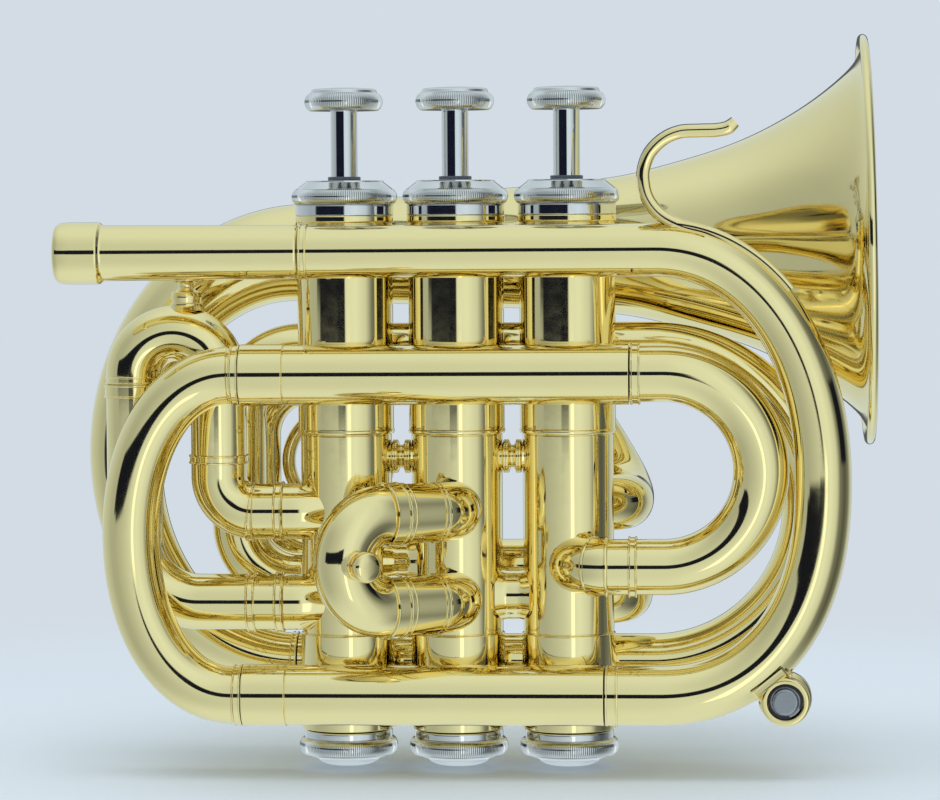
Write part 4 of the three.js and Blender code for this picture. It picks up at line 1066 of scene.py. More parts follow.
    def button(self) -> Piece:
        """Turns a finger button with its knurled edge and dished top plate.

        Returns:
            The button at the middle valve.
        """
        low, high = self.button_bottom, self.button_bottom + self.button_height
        profile = softened([(0, low), (7.3, low - 0.02, 0.1), (7.75, low - 0.01, 0.1)], 4)
        profile += tyre(low, high, 7.85, 8.98)
        profile += softened([(7.75, high + 0.02), (7.62, high + 0.1, 0.08), (7.4, high + 0.75, 0.25),
                             (6.8, high + 1.0, 0.6), (3.5, high + 1.2, 2.0), (0, high + 1.24)], 5)
        return turned("button_blank", profile, ORIGIN, Z, knurl=Knurl(low, high, self.button_teeth))

    def stem(self) -> Piece:
        """Turns a valve stem at the middle valve."""
        foot, top, r = self.stem_foot, self.button_bottom, self.stem_radius
        return turned("stem_blank", softened([(0, foot), (r, foot, 0.2), (r, top, 0.1), (0, top)]), ORIGIN, Z, 96)

    def stem_felt(self) -> Piece:
        """Turns the felt round a stem at the middle valve."""
        low, high = self.felt_low, self.felt_high
        corners = [(3.2, low), (3.75, low, 0.15), (3.75, high, 0.25), (3.2, high, 0.15), (3.2, low)]
        return turned("stem_felt_blank", softened(corners), ORIGIN, Z, 96)

    def inner_felt(self) -> Piece:
        """Turns the felt inside a top cap at the middle valve."""
        low, high = self.inner_felt_low, self.inner_felt_high
        corners = [(3.45, low), (7.4, low, 0.3), (7.4, high, 0.3), (3.45, high, 0.3), (3.45, low)]
        return turned("inner_felt_blank", softened(corners), ORIGIN, Z, 96)

    def valve_tops(self) -> None:
        """Copies the caps, stems, buttons and felts to the three valves."""
        blanks = ((self.top_cap, "top_cap", NICKEL, False), (self.bottom_cap, "bottom_cap", NICKEL, False),
                  (self.button, "finger_button", NICKEL, True), (self.stem, "valve_stem", NICKEL, True),
                  (self.stem_felt, "stem_felt", FELT, False), (self.inner_felt, "inner_felt", FELT, True))
        for make, node, finish, moves in blanks:
            blank = make()
            for number, (x, body) in enumerate(zip(LAYOUT.valve_x, VALVE_BODIES), 1):
                piece = copied(blank, f"{node}_{number}_turned", X * x)
                dress(piece, finish, body if moves else Body.INSTRUMENT, f"{node}_{number}")
            scrap(blank)

    def crossovers(self) -> None:
        """Draws the short tubes between the casings, with the solder's fillet at each end."""
        end, r = LAYOUT.valve_pitch / 2 - self.casing_radius + 1.6, self.crossover_radius
        half = [(0, end), (r + 0.8, end), (r + 0.1, end - 2.0, 0.8), (r, end - 2.6, 0.4)]
        profile = softened([(radius, -h, *size) for radius, h, *size in half] + half[::-1])
        for name, x, z in (("crossover_tube_1_2", -0.5, -20.0), ("crossover_tube_2_3", 0.5, -27.6)):
            piece = turned(f"{name}_run", profile, spot(x * LAYOUT.valve_pitch, 0, z), X, 96)
            dress(piece, BRASS, Body.INSTRUMENT, name)

    def springs(self) -> None:
        """Winds the piston springs, each with a mesh of its own."""
        foot, height = self.spring_foot, self.spring_height
        for number, x in enumerate(LAYOUT.valve_x, 1):
            piece = wound(f"valve_spring_{number}_wound", spot(x, 0, foot), Z, Y, height, self.spring_wire,
                          self.spring_radius, self.spring_curls)
            dress(piece, STEEL, Body.INSTRUMENT, f"valve_spring_{number}")
            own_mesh(piece)

    def build(self) -> None:
        """Builds and dresses the sub-assembly."""
        self.casings()
        self.valve_tops()
        self.crossovers()
        self.springs()


@dataclass
class FirstSlide:
    """The first valve's slide, which pulls up."""
    y: float = -4.5
    radius: float = 6.4
    fit: SlideFit = SlideFit(5.6, 13.0, 1.8, 6.6)
    upper_z: float = -8.0
    lower_z: float = -28.8
    right_x: float = -54.4
    left_x: float = -73.9
    port_ring_x: float = -39.5
    lower_ring_x: float = -46.0
    upper_elbow: float = 8.2
    upper_elbow_ring: float = 1.2
    upper_ring_z: float = 3.1
    lower_elbow: float = 15.0
    leg_top: float = 21.1
    sleeve: float = 2.8
    knob_x: float = -61.6
    knob_z: float = 38.2

    def at(self, x: float, z: float) -> Vector:
        """A place on the slide."""
        return spot(x, self.y, z)

    def from_casing(self, z: float) -> Route:
        """Leads a tube out of the casing's wall, to its ring."""
        port = self.at(LAYOUT.valve_x[0], z)
        line = [port + spot(-out, back, 0) for out, back in ((0, 3.2), (5, 1.4), (10, 0.2), (14, 0))]
        return Route().through(line, self.radius).collar(LAYOUT.ring_length, LAYOUT.ring_radius)

    def up(self, route: Route, side: str, x: float, start: float) -> None:
        """Leads a tube up to the sleeve at its leg's mouth, and draws it.

        Args:
            route: the tube so far.
            side: upper or lower, as its name says.
            x: its leg's place.
            start: the height from which the leg is plain.
        """
        sleeve = self.at(x, self.leg_top - self.sleeve)
        route.run(self.at(x, start), sleeve, self.radius)
        route.ringed(sleeve, self.at(x, self.leg_top + LAYOUT.closing), self.radius, LAYOUT.ring_radius)
        dress(tube(f"first_slide_{side}_run", route), BRASS, Body.INSTRUMENT, f"first_slide_{side}_tube")

    def fixed_tubes(self) -> None:
        """Bends the two tubes that stay on the casing."""
        r, ring = self.radius, LAYOUT.ring_radius
        x, z, elbow = self.right_x, self.upper_z, self.upper_elbow
        upper = self.from_casing(z).run(self.at(self.port_ring_x, z), self.at(x + elbow, z), r)
        upper.collar(self.upper_elbow_ring, ring).bow(self.at(x + elbow, z + elbow), Z * -elbow, X * -elbow, r)
        upper.run(self.at(x, z + elbow), self.at(x, self.upper_ring_z), r).collar(LAYOUT.ring_length, ring)
        self.up(upper, "upper", x, self.upper_ring_z)
        x, z, elbow = self.left_x, self.lower_z, self.lower_elbow
        lower = self.from_casing(z).run(self.at(self.port_ring_x, z), self.at(self.lower_ring_x, z), r)
        lower.collar(LAYOUT.ring_length, ring).run(self.at(self.lower_ring_x, z), self.at(x + elbow, z), r)
        lower.bow(self.at(x + elbow, z + elbow), Z * -elbow, X * -elbow, r)
        self.up(lower, "lower", x, z + elbow)

    def crook(self) -> None:
        """Bends the sliding crook and turns its pull knob."""
        stop = self.leg_top + LAYOUT.gap
        first, last = self.at(self.right_x, stop), self.at(self.left_x, stop)
        half = (self.right_x - self.left_x) / 2
        bend = Route().bow((first + last) / 2 + Z * self.fit.ferrule, X * half, Z * half, self.radius,
                           turn=math.pi, steps=72)
        dress(tube("first_slide_bow", self.fit.crook(first, last, Z, bend)), BRASS, Body.FIRST_SLIDE,
              "first_slide_crook")
        profile = softened([
            (0, 0), (4.3, 0), (3.8, 1.1, 0.5), (3.8, 1.6, 0.15), (3.3, 1.75, 0.1), (3.55, 3.0, 0.4), (3.3, 4.25, 0.2),
            (2.3, 4.45, 0.2), (1.7, 5.4, 0.5), (2.2, 6.5, 0.4), (3.5, 6.8, 0.15), (3.5, 7.6, 0.35), (2.2, 7.95, 0.6),
            (0, 8.0)])
        knob = turned("first_slide_pull_knob", profile, self.at(self.knob_x, self.knob_z), Z, 96)
        dress(knob, SOLDERED_BRASS, Body.FIRST_SLIDE, "first_slide_knob")

    def build(self) -> None:
        """Builds and dresses the sub-assembly."""
        self.fixed_tubes()
        self.crook()


@dataclass
class SecondSlide:
    """The second valve's slide, which pulls forwards to the left."""
    port_x: float = -0.6
    port_y: float = -11.0
    port_depth: float = 3.0
    upper_z: float = -7.3
    lower_z: float = -28.0
    radius: float = 6.75
    fit: SlideFit = SlideFit(5.9, 9.0, 3.5, 7.35)
    elbow: float = 7.0
    turn: float = math.radians(55)
    leg: float = 10.0
    base_ring: float = 1.2
    mouth_ring: float = 1.6
    mouth_radius: float = 7.05

    @property
    def out(self) -> Vector:
        """The way the slide pulls."""
        return spot(-math.sin(self.turn), -math.cos(self.turn), 0)

    @property
    def side(self) -> Vector:
        """Square to the slide, where the knob points."""
        return spot(math.cos(self.turn), -math.sin(self.turn), 0)

    def port(self, z: float) -> Vector:
        """Where a tube comes out of the casing."""
        return spot(self.port_x, self.port_y, z)

    def along(self, z: float, distance: float) -> Vector:
        """A place on the slide's leg."""
        return self.port(z) + (self.side - X) * self.elbow + self.out * distance

    def build(self) -> None:
        """Bends the tubes and the crook, and turns the knob."""
        r, mouth = self.radius, self.leg + LAYOUT.closing
        for name, z in (("second_slide_upper", self.upper_z), ("second_slide_lower", self.lower_z)):
            port = self.port(z)
            route = Route().run(port + Y * self.port_depth, port, r)
            route.bow(port - X * self.elbow, X * self.elbow, Y * -self.elbow, r, turn=self.turn, steps=30)
            route.collar(self.base_ring, r + 0.2).run(self.along(z, 0), self.along(z, mouth - self.mouth_ring), r)
            route.ringed(self.along(z, mouth - self.mouth_ring), self.along(z, mouth), r, self.mouth_radius)
            dress(tube(f"{name}_run", route), BRASS, Body.INSTRUMENT, f"{name}_tube")
        stop = self.leg + LAYOUT.gap
        first, last = self.along(self.upper_z, stop), self.along(self.lower_z, stop)
        half = (self.upper_z - self.lower_z) / 2
        middle = (first + last) / 2 + self.out * self.fit.ferrule
        bend = Route().bow(middle, Z * half, self.out * half, r, turn=math.pi, steps=72)
        dress(tube("second_slide_bow", self.fit.crook(first, last, self.out, bend)), BRASS, Body.SECOND_SLIDE,
              "second_slide_crook")
        profile = softened([
            (0, 5.0), (3.9, 5.0), (3.1, 7.0, 0.6), (3.1, 7.6, 0.3), (2.2, 7.7, 0.2), (2.2, 9.8, 0.2), (3.5, 9.9, 0.45),
            (3.5, 11.9, 1.3), (2.2, 12.7, 1.2), (0, 12.8)])
        knob = turned("second_slide_pull_knob", profile, middle + self.out * half, self.side, 96)
        dress(knob, SOLDERED_BRASS, Body.SECOND_SLIDE, "second_slide_knob")


@dataclass
class ThirdSlide:
    """The third valve's slide at the back, which pulls to the left by its finger ring."""
    y: float = 32.0
    radius: float = 6.45
    fit: SlideFit = SlideFit(5.6, 20.0, 2.0, LAYOUT.ring_radius)
    upper_z: float = 21.5
    lower_z: float = -24.0
    leg_left: float = -22.0
    upper_right: float = 14.0
    sleeve: float = 3.0
    corner_x: float = -37.0
    corner: float = 14.0
    upper_port_z: float = -7.0
    lower_port_z: float = -28.5
    port_x: float = 30.0
    port_y: float = 6.0
    elbow: float = 8.0
    knuckle: float = 12.8
    knuckle_shares: tuple[tuple[float, float, float], ...] = (
        (-0.35, 1, 0.93), (0.2, 1, 0.62), (0.62, 0.95, 0.33), (0.9, 0.8, 0.12), (1, 0.575, 0.01), (0.9, 0.345, 0),
        (0.352, 0.1875, 0))
    ring_x: float = -30.7
    ring_radius: float = 13.5
    ring_section: float = 1.6

    def at(self, x: float, z: float) -> Vector:
        """A place on the slide."""
        return spot(x, self.y, z)

    def fixed_tubes(self) -> None:
        """Bends the two tubes that stay on the casing."""
        r, elbow, rise = self.radius, self.elbow, self.upper_z - self.upper_port_z
        knuckle = [spot(LAYOUT.valve_x[2] + x * self.knuckle, y * self.y, self.upper_port_z + z * rise)
                   for x, y, z in self.knuckle_shares]
        end = self.at(self.upper_right, self.upper_z)
        upper = Route().collar(self.sleeve, LAYOUT.ring_radius).run(self.at(self.leg_left, self.upper_z), end, r)
        upper.through([end, *knuckle], r, 12)
        lower = Route().collar(self.sleeve, LAYOUT.ring_radius)
        lower.run(self.at(self.leg_left, self.lower_z), self.at(self.port_x, self.lower_z), r)
        lower.bow(spot(self.port_x, self.y - elbow, self.lower_z), Y * elbow, X * elbow, r)
        lower.bow(spot(self.port_x, self.port_y + elbow, self.lower_port_z), X * elbow, Y * -elbow, r)
        for side, route in (("upper", upper), ("lower", lower)):
            dress(tube(f"third_slide_{side}_run", route), BRASS, Body.INSTRUMENT, f"third_slide_{side}_tube")

    def crook(self) -> None:
        """Bends the sliding crook with its squared corners."""
        stop, x, corner, r = self.leg_left - LAYOUT.gap, self.corner_x, self.corner, self.radius
        start = stop - self.fit.ferrule
        bend = Route().run(self.at(start - 0.01, self.upper_z), self.at(x, self.upper_z), r)
        bend.bow(self.at(x, self.upper_z - corner), Z * corner, X * -corner, r)
        bend.bow(self.at(x, self.lower_z + corner), X * -corner, Z * -corner, r)
        bend.run(self.at(x, self.lower_z), self.at(start, self.lower_z), r)
        route = self.fit.crook(self.at(stop, self.upper_z), self.at(stop, self.lower_z), -X, bend)
        dress(tube("third_slide_bow", route), BRASS, Body.THIRD_SLIDE, "third_slide_crook")

    def finger_ring(self) -> None:
        """Bends the finger ring and solders its foot under the crook."""
        middle = self.at(self.ring_x, self.upper_z - self.radius - LAYOUT.gap - self.ring_radius)
        bpy.ops.object.select_all(action="DESELECT")
        bpy.ops.mesh.primitive_torus_add(
            major_segments=96, minor_segments=24, major_radius=(self.ring_radius - self.ring_section) * MM,
            minor_radius=self.ring_section * MM, location=(0, 0, 0))
        ring = bpy.context.object
        bpy.ops.object.mode_set(mode="EDIT")
        bpy.ops.mesh.select_all(action="SELECT")
        bpy.ops.transform.resize(value=(1, 1, 1.25), center_override=(0, 0, 0))
        bpy.ops.object.mode_set(mode="OBJECT")
        put(ring, middle, Z.rotation_difference(Y).to_matrix())
        profile = softened([(0, -1.9), (2.6, -1.9, 0.8), (2.9, 0.3, 0.6), (0, 0.3)])
        foot = turned("ring_foot", profile, middle + Z * self.ring_radius, Z, 48)
        dress(clean_up(joined("third_slide_ring", ring, foot)), SOLDERED_BRASS, Body.THIRD_SLIDE,
              "third_slide_finger_ring")

    def build(self) -> None:
        """Builds and dresses the sub-assembly."""
        self.fixed_tubes()
        self.crook()
        self.finger_ring()


@dataclass
class BellSection:
    """The coiled bell tube, its tail bow and the bell, with the stay between them."""
    port_z: float = -26.0
    port_angle: float = math.radians(113.4)
    port_depth: float = 8.0
    elbow: float = 9.0
    lower_corner: float = 13.5
    upper_corner: float = 15.0
    bow_x: float = 44.5
    tail_collar: float = 1.6
    tail_reach: float = 41.3
    tail_radius: float = 6.5
    tail_swell: float = 1.25
    rim_x: float = 95.5
    rim_z: float = 53.2
    wall: float = 0.8
    bead: float = 1.1
    mouth_radius: float = 47.0
    passes: int = 40              # how often the flare's line is evened out
    flare: tuple[tuple[float, float], ...] = (
        (0, 0.245), (0.175, 0.264), (0.372, 0.306), (0.528, 0.324), (0.591, 0.357), (0.619, 0.377), (0.689, 0.424),
        (0.762, 0.483), (0.813, 0.543), (0.862, 0.615), (0.906, 0.688), (0.946, 0.775), (0.976, 0.848), (0.993, 0.9),
        (1, 0.977))

    def at(self, x: float, z: float) -> Vector:
        """A place on the coil."""
        return spot(x, LAYOUT.coil_y, z)

    def coil(self) -> None:
        """Bends the coil from the first valve round behind the valves."""
        r, first_x, z = LAYOUT.coil_radius, LAYOUT.valve_x[0], self.port_z
        top, bottom = LAYOUT.coil_top_z, LAYOUT.coil_bottom_z
        low, high, half = self.lower_corner, self.upper_corner, (top - bottom) / 2
        out = spot(math.cos(self.port_angle), math.sin(self.port_angle), 0)
        turn = math.pi - self.port_angle
        trim = self.elbow * math.tan(turn / 2)
        meet_x = first_x + LAYOUT.coil_y * out.x / out.y
        end_x, start = meet_x - trim, self.at(meet_x, z) - out * trim
        centre, top_x = self.at(end_x, z) - Y * self.elbow, end_x - low + high
        route = Route().run(spot(first_x, 0, z) + out * self.port_depth, start, r)
        route.bow(centre, start - centre, out * self.elbow, r, turn=turn)
        route.bow(self.at(end_x, z + low), Z * -low, X * -low, r)
        route.bow(self.at(top_x, top - high), X * -high, Z * high, r)
        route.collar(LAYOUT.ring_length, LAYOUT.ring_radius).run(self.at(top_x, top), self.at(self.bow_x, top), r)
        route.bow(self.at(self.bow_x, (top + bottom) / 2), Z * half, X * half, r, turn=math.pi, steps=80)
        route.run(self.at(self.bow_x, bottom), self.at(LAYOUT.tail_x + LAYOUT.gap, bottom), r)
        dress(tube("bell_coil_tube", route), BRASS, Body.INSTRUMENT, "bell_coil")

    def tail_bow(self) -> None:
        """Bends the widening bow that leads up into the bell."""
        low, high = self.at(LAYOUT.tail_x, LAYOUT.coil_bottom_z), spot(LAYOUT.tail_x, LAYOUT.bell_y, LAYOUT.tail_z)
        middle = (low + high) / 2
        route = Route().collar(self.tail_collar, LAYOUT.ring_radius)
        route.bow(middle, low - middle, X * -self.tail_reach, self.tail_radius, LAYOUT.throat_radius, turn=math.pi,
                  swell=self.tail_swell, steps=120)
        dress(tube("bell_tail_tube", route), BRASS, Body.INSTRUMENT, "bell_tail_bow")

    def flare_line(self, length: float) -> Profile:
        """Works out the bell's outside, evenly curved.

        Args:
            length: from the bell's foot to its mouth.

        Returns:
            Radius and place along the axis.
        """
        line = smooth_line([spot(wide * self.mouth_radius, LAYOUT.gap + along * (length - LAYOUT.gap - self.bead), 0)
                            for along, wide in self.flare], 6)
        for _ in range(self.passes):
            line[1:-1] = [(a + b * 2 + c) / 4 for a, b, c in zip(line, line[1:], line[2:])]
        return [(point.x, point.y) for point in line]

    def bell(self) -> None:
        """Turns the bell with its wall and rolled rim."""
        foot = spot(LAYOUT.tail_x, LAYOUT.bell_y, LAYOUT.tail_z)
        axis = spot(self.rim_x, LAYOUT.bell_y, self.rim_z) - foot
        length = axis.length
        outside = self.flare_line(length)
        inside: Profile = []
        ends = zip(outside, [outside[0], *outside], [*outside[1:], outside[-1]])
        for (r, h), (r0, h0), (r1, h1) in ends:
            thick = self.wall / math.hypot(r1 - r0, h1 - h0)
            inside.append((r - thick * (h1 - h0), h + thick * (r1 - r0)))
        bead = [(self.mouth_radius + self.bead * math.sin(t), length - self.bead - self.bead * math.cos(t))
                for t in (math.radians(-20 + 20 * k) for k in range(11))]
        profile = outside[:-1] + bead + inside[::-1] + outside[:1]
        dress(turned("bell_flare_turned", profile, foot, axis.normalized(), 240), BRASS, Body.INSTRUMENT, "bell")

    def brace(self) -> None:
        """Turns the stay between the coil's top run and the bell."""
        low = self.at(LAYOUT.valve_x[0], LAYOUT.coil_top_z)
        way = spot(LAYOUT.valve_x[0], LAYOUT.bell_y, LAYOUT.tail_z + 0.23) - low
        start, end = LAYOUT.coil_radius - 0.8, way.length - LAYOUT.throat_radius + 0.2
        middle = (start + end) / 2
        half = [(0, start), (3.6, start), (3.4, start + 1.6, 0.4), (1.8, start + 2.3, 0.5), (1.8, middle - 0.7, 0.1),
                (2.5, middle - 0.6, 0.4)]
        profile = softened(half + [(r, 2 * middle - h, *size) for r, h, *size in reversed(half)])
        dress(turned("bell_stay", profile, low, way.normalized(), 64), SOLDERED_BRASS, Body.INSTRUMENT, "bell_brace")

    def build(self) -> None:
        """Builds and dresses the sub-assembly."""
        self.coil()
        self.tail_bow()
        self.bell()
        self.brace()


@dataclass
class PinkyHook:
    """The finger hook: a bent strip on a long foot over the leadpipe."""
    half_width: float = 3.0
    half_thickness: float = 1.4
    foot_thickness: float = 1.1
    lean: float = 0.1
    back_x: float = 42.0
    foot_x: float = 49.2
    foot_share: float = 0.48      # how much of the leadpipe's upper quarter bow the foot follows
    span: float = 21.9
    height: float = 22.3
    tip: float = 0.86             # how much the strip narrows at its tip
    shares: tuple[tuple[float, float], ...] = (
        (1.19, -0.385), (0.95, -0.225), (0.711, -0.105), (0.49, -0.044), (0.309, 0.035), (0.188, 0.133), (0.098, 0.273),
        (0.064, 0.431), (0.069, 0.55), (0.131, 0.708), (0.272, 0.845), (0.433, 0.913), (0.634, 0.925), (0.82, 0.93),
        (0.93, 0.955), (1.0, 1.01))

    def build(self) -> None:
        """Bends the hook and its foot plate from strip."""
        crown = LAYOUT.lead_z + LAYOUT.lead_radius
        line = smooth_line([spot(self.back_x + x * self.span, LAYOUT.lead_y, crown + z * self.height)
                            for x, z in self.shares], 12)
        route = Route()
        for k, point in enumerate(reversed(line)):
            route.stop(point, self.tip + (1 - self.tip) * min(1.0, k / 10))
        hook = strip("hook_strip", Route(route.points[::-1], route.radii[::-1]), self.half_width, self.half_thickness,
                     1.15, self.lean)
        arc = Route().bow(spot(LAYOUT.lead_bow_x, LAYOUT.lead_y, 0), Z * crown,
                          X * (LAYOUT.lead_bow_reach + LAYOUT.lead_radius), 1.0,
                          turn=math.pi / 2 * self.foot_share, fullness=LAYOUT.lead_upper_fullness, steps=60)
        foot = [point for point in arc.points if point.x > self.foot_x]
        plate = strip("hook_foot", Route(foot, [1.0] * len(foot)), self.half_width, self.foot_thickness, 0.9)
        dress(joined("pinky_hook_strip", hook, plate), SOLDERED_BRASS, Body.INSTRUMENT, "pinky_hook")


@dataclass
class WaterKey:
    """The push-in water key on the leadpipe's lower bow."""
    x: float = 74.7
    z: float = -49.5
    front: float = -22.5
    back: float = -12.5
    radius: float = 5.5
    bore: float = 4.0
    flange: float = 1.2
    pipe_away: float = 10.28
    pipe_radius: float = 6.5
    pipe_side: float = math.radians(128.8)
    half_wrap: float = math.radians(60)
    saddle_half: float = 4.5
    saddle_wall: float = 0.95
    shoulder: float = -21.0
    plunger: float = 2.4
    clip_gap: float = math.radians(50)
    travel: float = 2.0
    spring_radius: float = 3.1
    spring_wire: float = 0.3
    spring_curls: int = 5

    @property
    def foot(self) -> Vector:
        """The key's axis, in the plane of the valves."""
        return spot(self.x, 0, self.z)

    def shell(self) -> Piece:
        """Turns the body with its rear flange."""
        front, back, r, bore = self.front, self.back, self.radius, self.bore
        inside = back - self.flange
        return turned("key_shell", softened([
            (bore, front + 0.25), (bore + 0.2, front, 0.12), (5.1, front, 0.3), (r, front + 0.45, 0.35),
            (r, back - 3.4, 0.2), (5.8, back - 3.0, 0.4), (6.05, back - 2.6, 0.3), (6.05, back, 0.35), (1.5, back, 0.2),
            (1.5, inside, 0.1), (bore, inside), (bore, front + 0.25)]), self.foot, Y, 96)

    def saddle(self) -> Piece:
        """Bends the saddle that holds the body to the bow.

        Returns:
            The saddle in its place.
        """
        half, inner, outer = self.saddle_half, self.pipe_radius, self.pipe_radius + self.saddle_wall
        profile = softened([(inner, -half), (outer, -half, 0.5), (outer, half, 0.5), (inner, half), (inner, -half)])
        plate = turned("key_saddle", profile, ORIGIN, Z, 48, 2 * self.half_wrap)
        to_pipe = spot(math.cos(self.pipe_side), 0, math.sin(self.pipe_side))
        along = to_pipe.cross(Y)
        start = Quaternion(along, self.half_wrap) @ -to_pipe
        turn = Matrix((start, along.cross(start), along)).transposed()
        return clean_up(put(plate, self.foot + Y * LAYOUT.lead_y + to_pipe * self.pipe_away, turn))

    def works(self) -> None:
        """Turns the plunger, bends the clip that holds it in and winds its spring."""
        front, shoulder, rear = self.front, self.shoulder, self.shoulder + self.plunger
        plunger = turned("water_key_button", softened([
            (0, front - 0.3), (2.55, front - 0.3, 0.12), (3.0, front + 0.05, 0.2), (3.0, shoulder),
            (3.8, shoulder, 0.2), (3.8, rear, 0.2), (0, rear)]), self.foot, Y, 96)
        dress(plunger, TURNED_STEEL, Body.WATER_KEY, "water_key_plunger")
        clip = turned("water_key_snap_ring", softened([
            (3.35, 0), (3.95, 0, 0.15), (3.95, 0.6, 0.15), (3.35, 0.6, 0.15), (3.35, 0)]),
            ORIGIN, Z, 80, math.tau - self.clip_gap)
        turn = Matrix.Rotation(-math.pi / 2, 3, "X") @ Matrix.Rotation(self.clip_gap / 2, 3, "Z")
        clean_up(put(clip, self.foot + Y * (front + 0.6), turn))
        dress(clip, BLACKED_STEEL, Body.INSTRUMENT, "water_key_clip")
        start, end = rear + LAYOUT.gap, self.back - self.flange - LAYOUT.gap
        spring = wound("water_key_spring_wound", self.foot + Y * start, Y, Z, end - start, self.spring_wire,
                       self.spring_radius, self.spring_curls)
        dress(spring, STEEL, Body.INSTRUMENT, "water_key_spring")
        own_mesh(spring)

    def build(self) -> None:
        """Builds and dresses the sub-assembly."""
        dress(joined("water_key_shell", self.shell(), self.saddle()), SOLDERED_BRASS, Body.INSTRUMENT, "water_key_body")
        self.works()


class HiddenWorks:
    """The pistons and guides, which keep their CAD shapes inside the casings."""

    def build(self) -> None:
        """Dresses the CAD nodes that stay."""
        for number in (1, 2, 3):
            for node, finish in ((f"valve_piston_{number}", NICKEL), (f"valve_guide_{number}", SOLDERED_BRASS)):
                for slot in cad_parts[node].material_slots:
                    slot.material = finish.material()
                log.info("%s: CAD shape kept, %s", node, finish.name)


# ------------------------------------------------------------------ the studio
@dataclass(frozen=True)
class Patch:
    """A patch of the room: its colour, its sides and heights as seen from the trumpet, and how soft its sides are."""
    colour: Shade
    sides: tuple[float, float]
    heights: tuple[float, float]
    soft: float

    def mask(self, tree: Tree, turn: Socket, rise: Socket) -> Socket:
        """Makes the patch's mask.

        Args:
            tree: the world's tree.
            turn: the direction's turn from the camera side, in degrees.
            rise: its height above the horizon, in degrees.

        Returns:
            The mask: 1 inside, 0 outside.
        """
        (left, right), (low, high), soft = self.sides, self.heights, self.soft
        across = maths(tree, "MULTIPLY", soft_step(tree, turn, left - soft, left + soft),
                       soft_step(tree, turn, right + soft, right - soft))
        up = maths(tree, "MULTIPLY", soft_step(tree, rise, low - 0.4, low + 0.4),
                   soft_step(tree, rise, high + 1.0, high - 1.0))
        return maths(tree, "MULTIPLY", across, up)


DARK = (0.009, 0.011, 0.024)
FAR_END = (0.10, 0.11, 0.12)
WINDOW = (1.5, 1.5, 1.45)


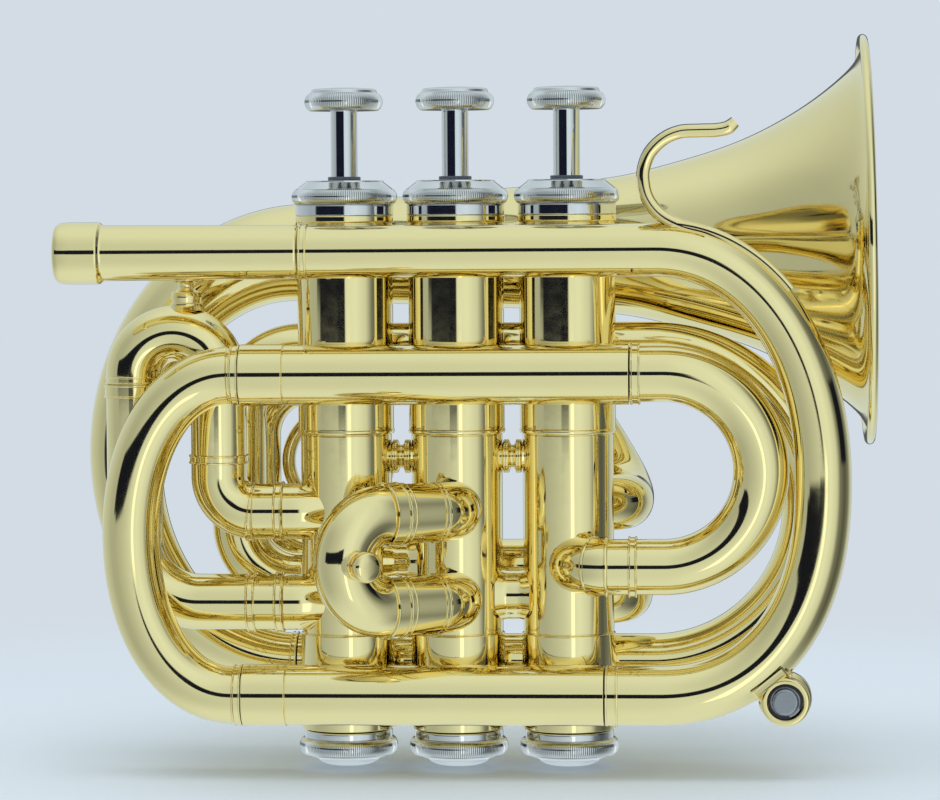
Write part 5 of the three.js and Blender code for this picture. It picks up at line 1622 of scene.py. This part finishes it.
@dataclass
class Studio:
    """A pale room with soft light and one dark opening behind the camera."""
    backdrop: Shade = (0.651, 0.716, 0.783)
    pale: Shade = (0.755, 0.875, 0.945)
    walls: tuple[tuple[float, float], ...] = (
        (-179, 0.9), (-140, 0.8), (-118, 0.74), (-96, 0.66), (-80, 0.56), (-60, 0.56), (-30, 0.7), (-10, 0.82),
        (8, 1.0), (30, 1.08), (56, 0.85), (72, 0.25), (96, 0.12), (118, 0.25), (138, 0.7), (179, 0.9))
    patches: tuple[Patch, ...] = (
        Patch(WINDOW, (9, 17), (-38, -2.6), 1.5), Patch(DARK, (-66, 0), (-1.4, 11), 3.0),
        Patch(DARK, (-58, 0), (-2.6, 6), 3.0), Patch(DARK, (-13, 5), (-3.2, 11.5), 2.0),
        Patch(DARK, (78, 108), (-1.2, 14), 5.0), Patch(FAR_END, (-200, -167), (-13, 13), 4.0),
        Patch(FAR_END, (167, 200), (-13, 13), 4.0))
    even_from: float = 24.0
    even_to: float = 75.0
    camera_at: tuple[float, float, float] = (63.666, -866.845, 59.699)
    target: tuple[float, float, float] = (3.05, 0.0, 17.2)
    roll: float = math.radians(-0.38)
    lens: float = 145.27
    floor_z: float = -67.4
    shadow: tuple[float, float] = (0.12, 0.38)      # from where to where the floor's shadow fades, in metres

    def camera(self) -> None:
        """Sets up the camera at the photograph's angle."""
        here = spot(*self.camera_at)
        bpy.ops.object.camera_add(location=here * MM)
        camera = bpy.context.object
        camera.name = "studio_camera"
        camera.rotation_mode = "QUATERNION"
        way = spot(*self.target) - here
        camera.rotation_quaternion = way.to_track_quat("-Z", "Y") @ Quaternion((0, 0, 1), self.roll)
        camera.data.lens = self.lens
        camera.data.sensor_width = 36.0
        camera.data.clip_start, camera.data.clip_end = 0.05, 30.0
        bpy.context.scene.camera = camera

    def room(self, tree: Tree) -> Socket:
        """Paints the room that the metal reflects.

        Args:
            tree: the world's tree.

        Returns:
            Its colour in every direction.
        """
        where = add_node(tree, "TexCoord").outputs["Generated"]
        split = add_node(tree, "SeparateXYZ", {0: where}).outputs
        away = maths(tree, "MULTIPLY", split["Y"], -1.0)
        turn = maths(tree, "DEGREES", maths(tree, "ARCTAN2", split["X"], away))
        rise = maths(tree, "DEGREES", maths(tree, "ARCSINE", split["Z"]))
        share = maths(tree, "DIVIDE", maths(tree, "ADD", turn, 180.0), 360.0)
        walls = add_node(tree, "ValToRGB", {"Fac": share})
        stops = walls.color_ramp.elements
        for degrees, level in self.walls:
            stops.new((degrees + 180) / 360).color = (*(level * part for part in self.pale), 1)
        stops.remove(stops[0])
        stops.remove(stops[-1])
        even = soft_step(tree, maths(tree, "ABSOLUTE", rise), self.even_from, self.even_to)
        colour = blend(tree, walls.outputs["Color"], self.pale, even)
        for patch in self.patches:
            colour = blend(tree, colour, patch.colour, patch.mask(tree, turn, rise))
        return colour

    def world(self) -> None:
        """Sets up the room, and the plain backdrop that the camera sees in its place."""
        world = bpy.data.worlds.new("studio_room")
        bpy.context.scene.world = world
        world.use_nodes = True
        tree = world.node_tree
        tree.nodes.clear()
        room = add_node(tree, "Background", {"Color": self.room(tree)})
        plain = add_node(tree, "Background", {"Color": (*self.backdrop, 1)})
        seen = add_node(tree, "LightPath").outputs["Is Camera Ray"]
        mix = add_node(tree, "MixShader", {"Fac": seen, 1: room.outputs[0], 2: plain.outputs[0]})
        add_node(tree, "OutputWorld", {"Surface": mix.outputs[0]})

    def floor(self) -> None:
        """Lays the plain pale floor, which keeps a faint shadow near the trumpet."""
        bpy.ops.object.select_all(action="DESELECT")
        bpy.ops.mesh.primitive_plane_add(size=8, location=(0, 0, self.floor_z * MM))
        floor = bpy.context.object
        floor.name = "studio_floor"
        bpy.ops.object.transform_apply(location=True, rotation=True, scale=True)
        floor.visible_glossy = False
        surface = bpy.data.materials.new("studio_floor_paper")
        surface.use_nodes = True
        tree = surface.node_tree
        paper = tree.nodes["Principled BSDF"]
        fill(tree, paper, {"Base Color": (0.90, 0.93, 0.98, 1), "Roughness": 1.0, "Specular IOR Level": 0.0})
        glow = add_node(tree, "Emission", {"Color": (*self.backdrop, 1)})
        where = add_node(tree, "TexCoord").outputs["Object"]
        reach = add_node(tree, "VectorMath", {0: where}, operation="LENGTH").outputs["Value"]
        fade = soft_step(tree, reach, *self.shadow)
        mix = add_node(tree, "MixShader", {"Fac": fade, 1: paper.outputs[0], 2: glow.outputs[0]})
        fill(tree, tree.nodes["Material Output"], {"Surface": mix.outputs[0]})
        floor.data.materials.append(surface)

    def lamp(self) -> None:
        """Hangs one soft lamp overhead."""
        bpy.ops.object.light_add(type="AREA", location=(0.1, -0.15, 1.1))
        lamp = bpy.context.object
        lamp.name = "studio_softbox"
        lamp.data.energy = 3.0
        lamp.data.shape = "RECTANGLE"
        lamp.data.size, lamp.data.size_y = 1.2, 0.8
        lamp.visible_glossy = False

    def build(self) -> None:
        """Sets up the studio."""
        self.camera()
        self.world()
        self.floor()
        self.lamp()


def main() -> None:
    """Builds the trumpet, sub-assembly by sub-assembly."""
    logging.basicConfig(level=logging.INFO, format="%(message)s", stream=sys.stdout)
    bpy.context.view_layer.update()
    bpy.context.scene.view_settings.view_transform = "Standard"
    assemblies = (Studio(), LeadpipeSide(), MainTuningSlide(), InletBow(), ValveSection(), FirstSlide(), SecondSlide(),
                  ThirdSlide(), BellSection(), PinkyHook(), WaterKey(), HiddenWorks())
    for assembly in assemblies:
        log.info("%s", type(assembly).__name__)
        assembly.build()


if __name__ == "__main__":
    main()
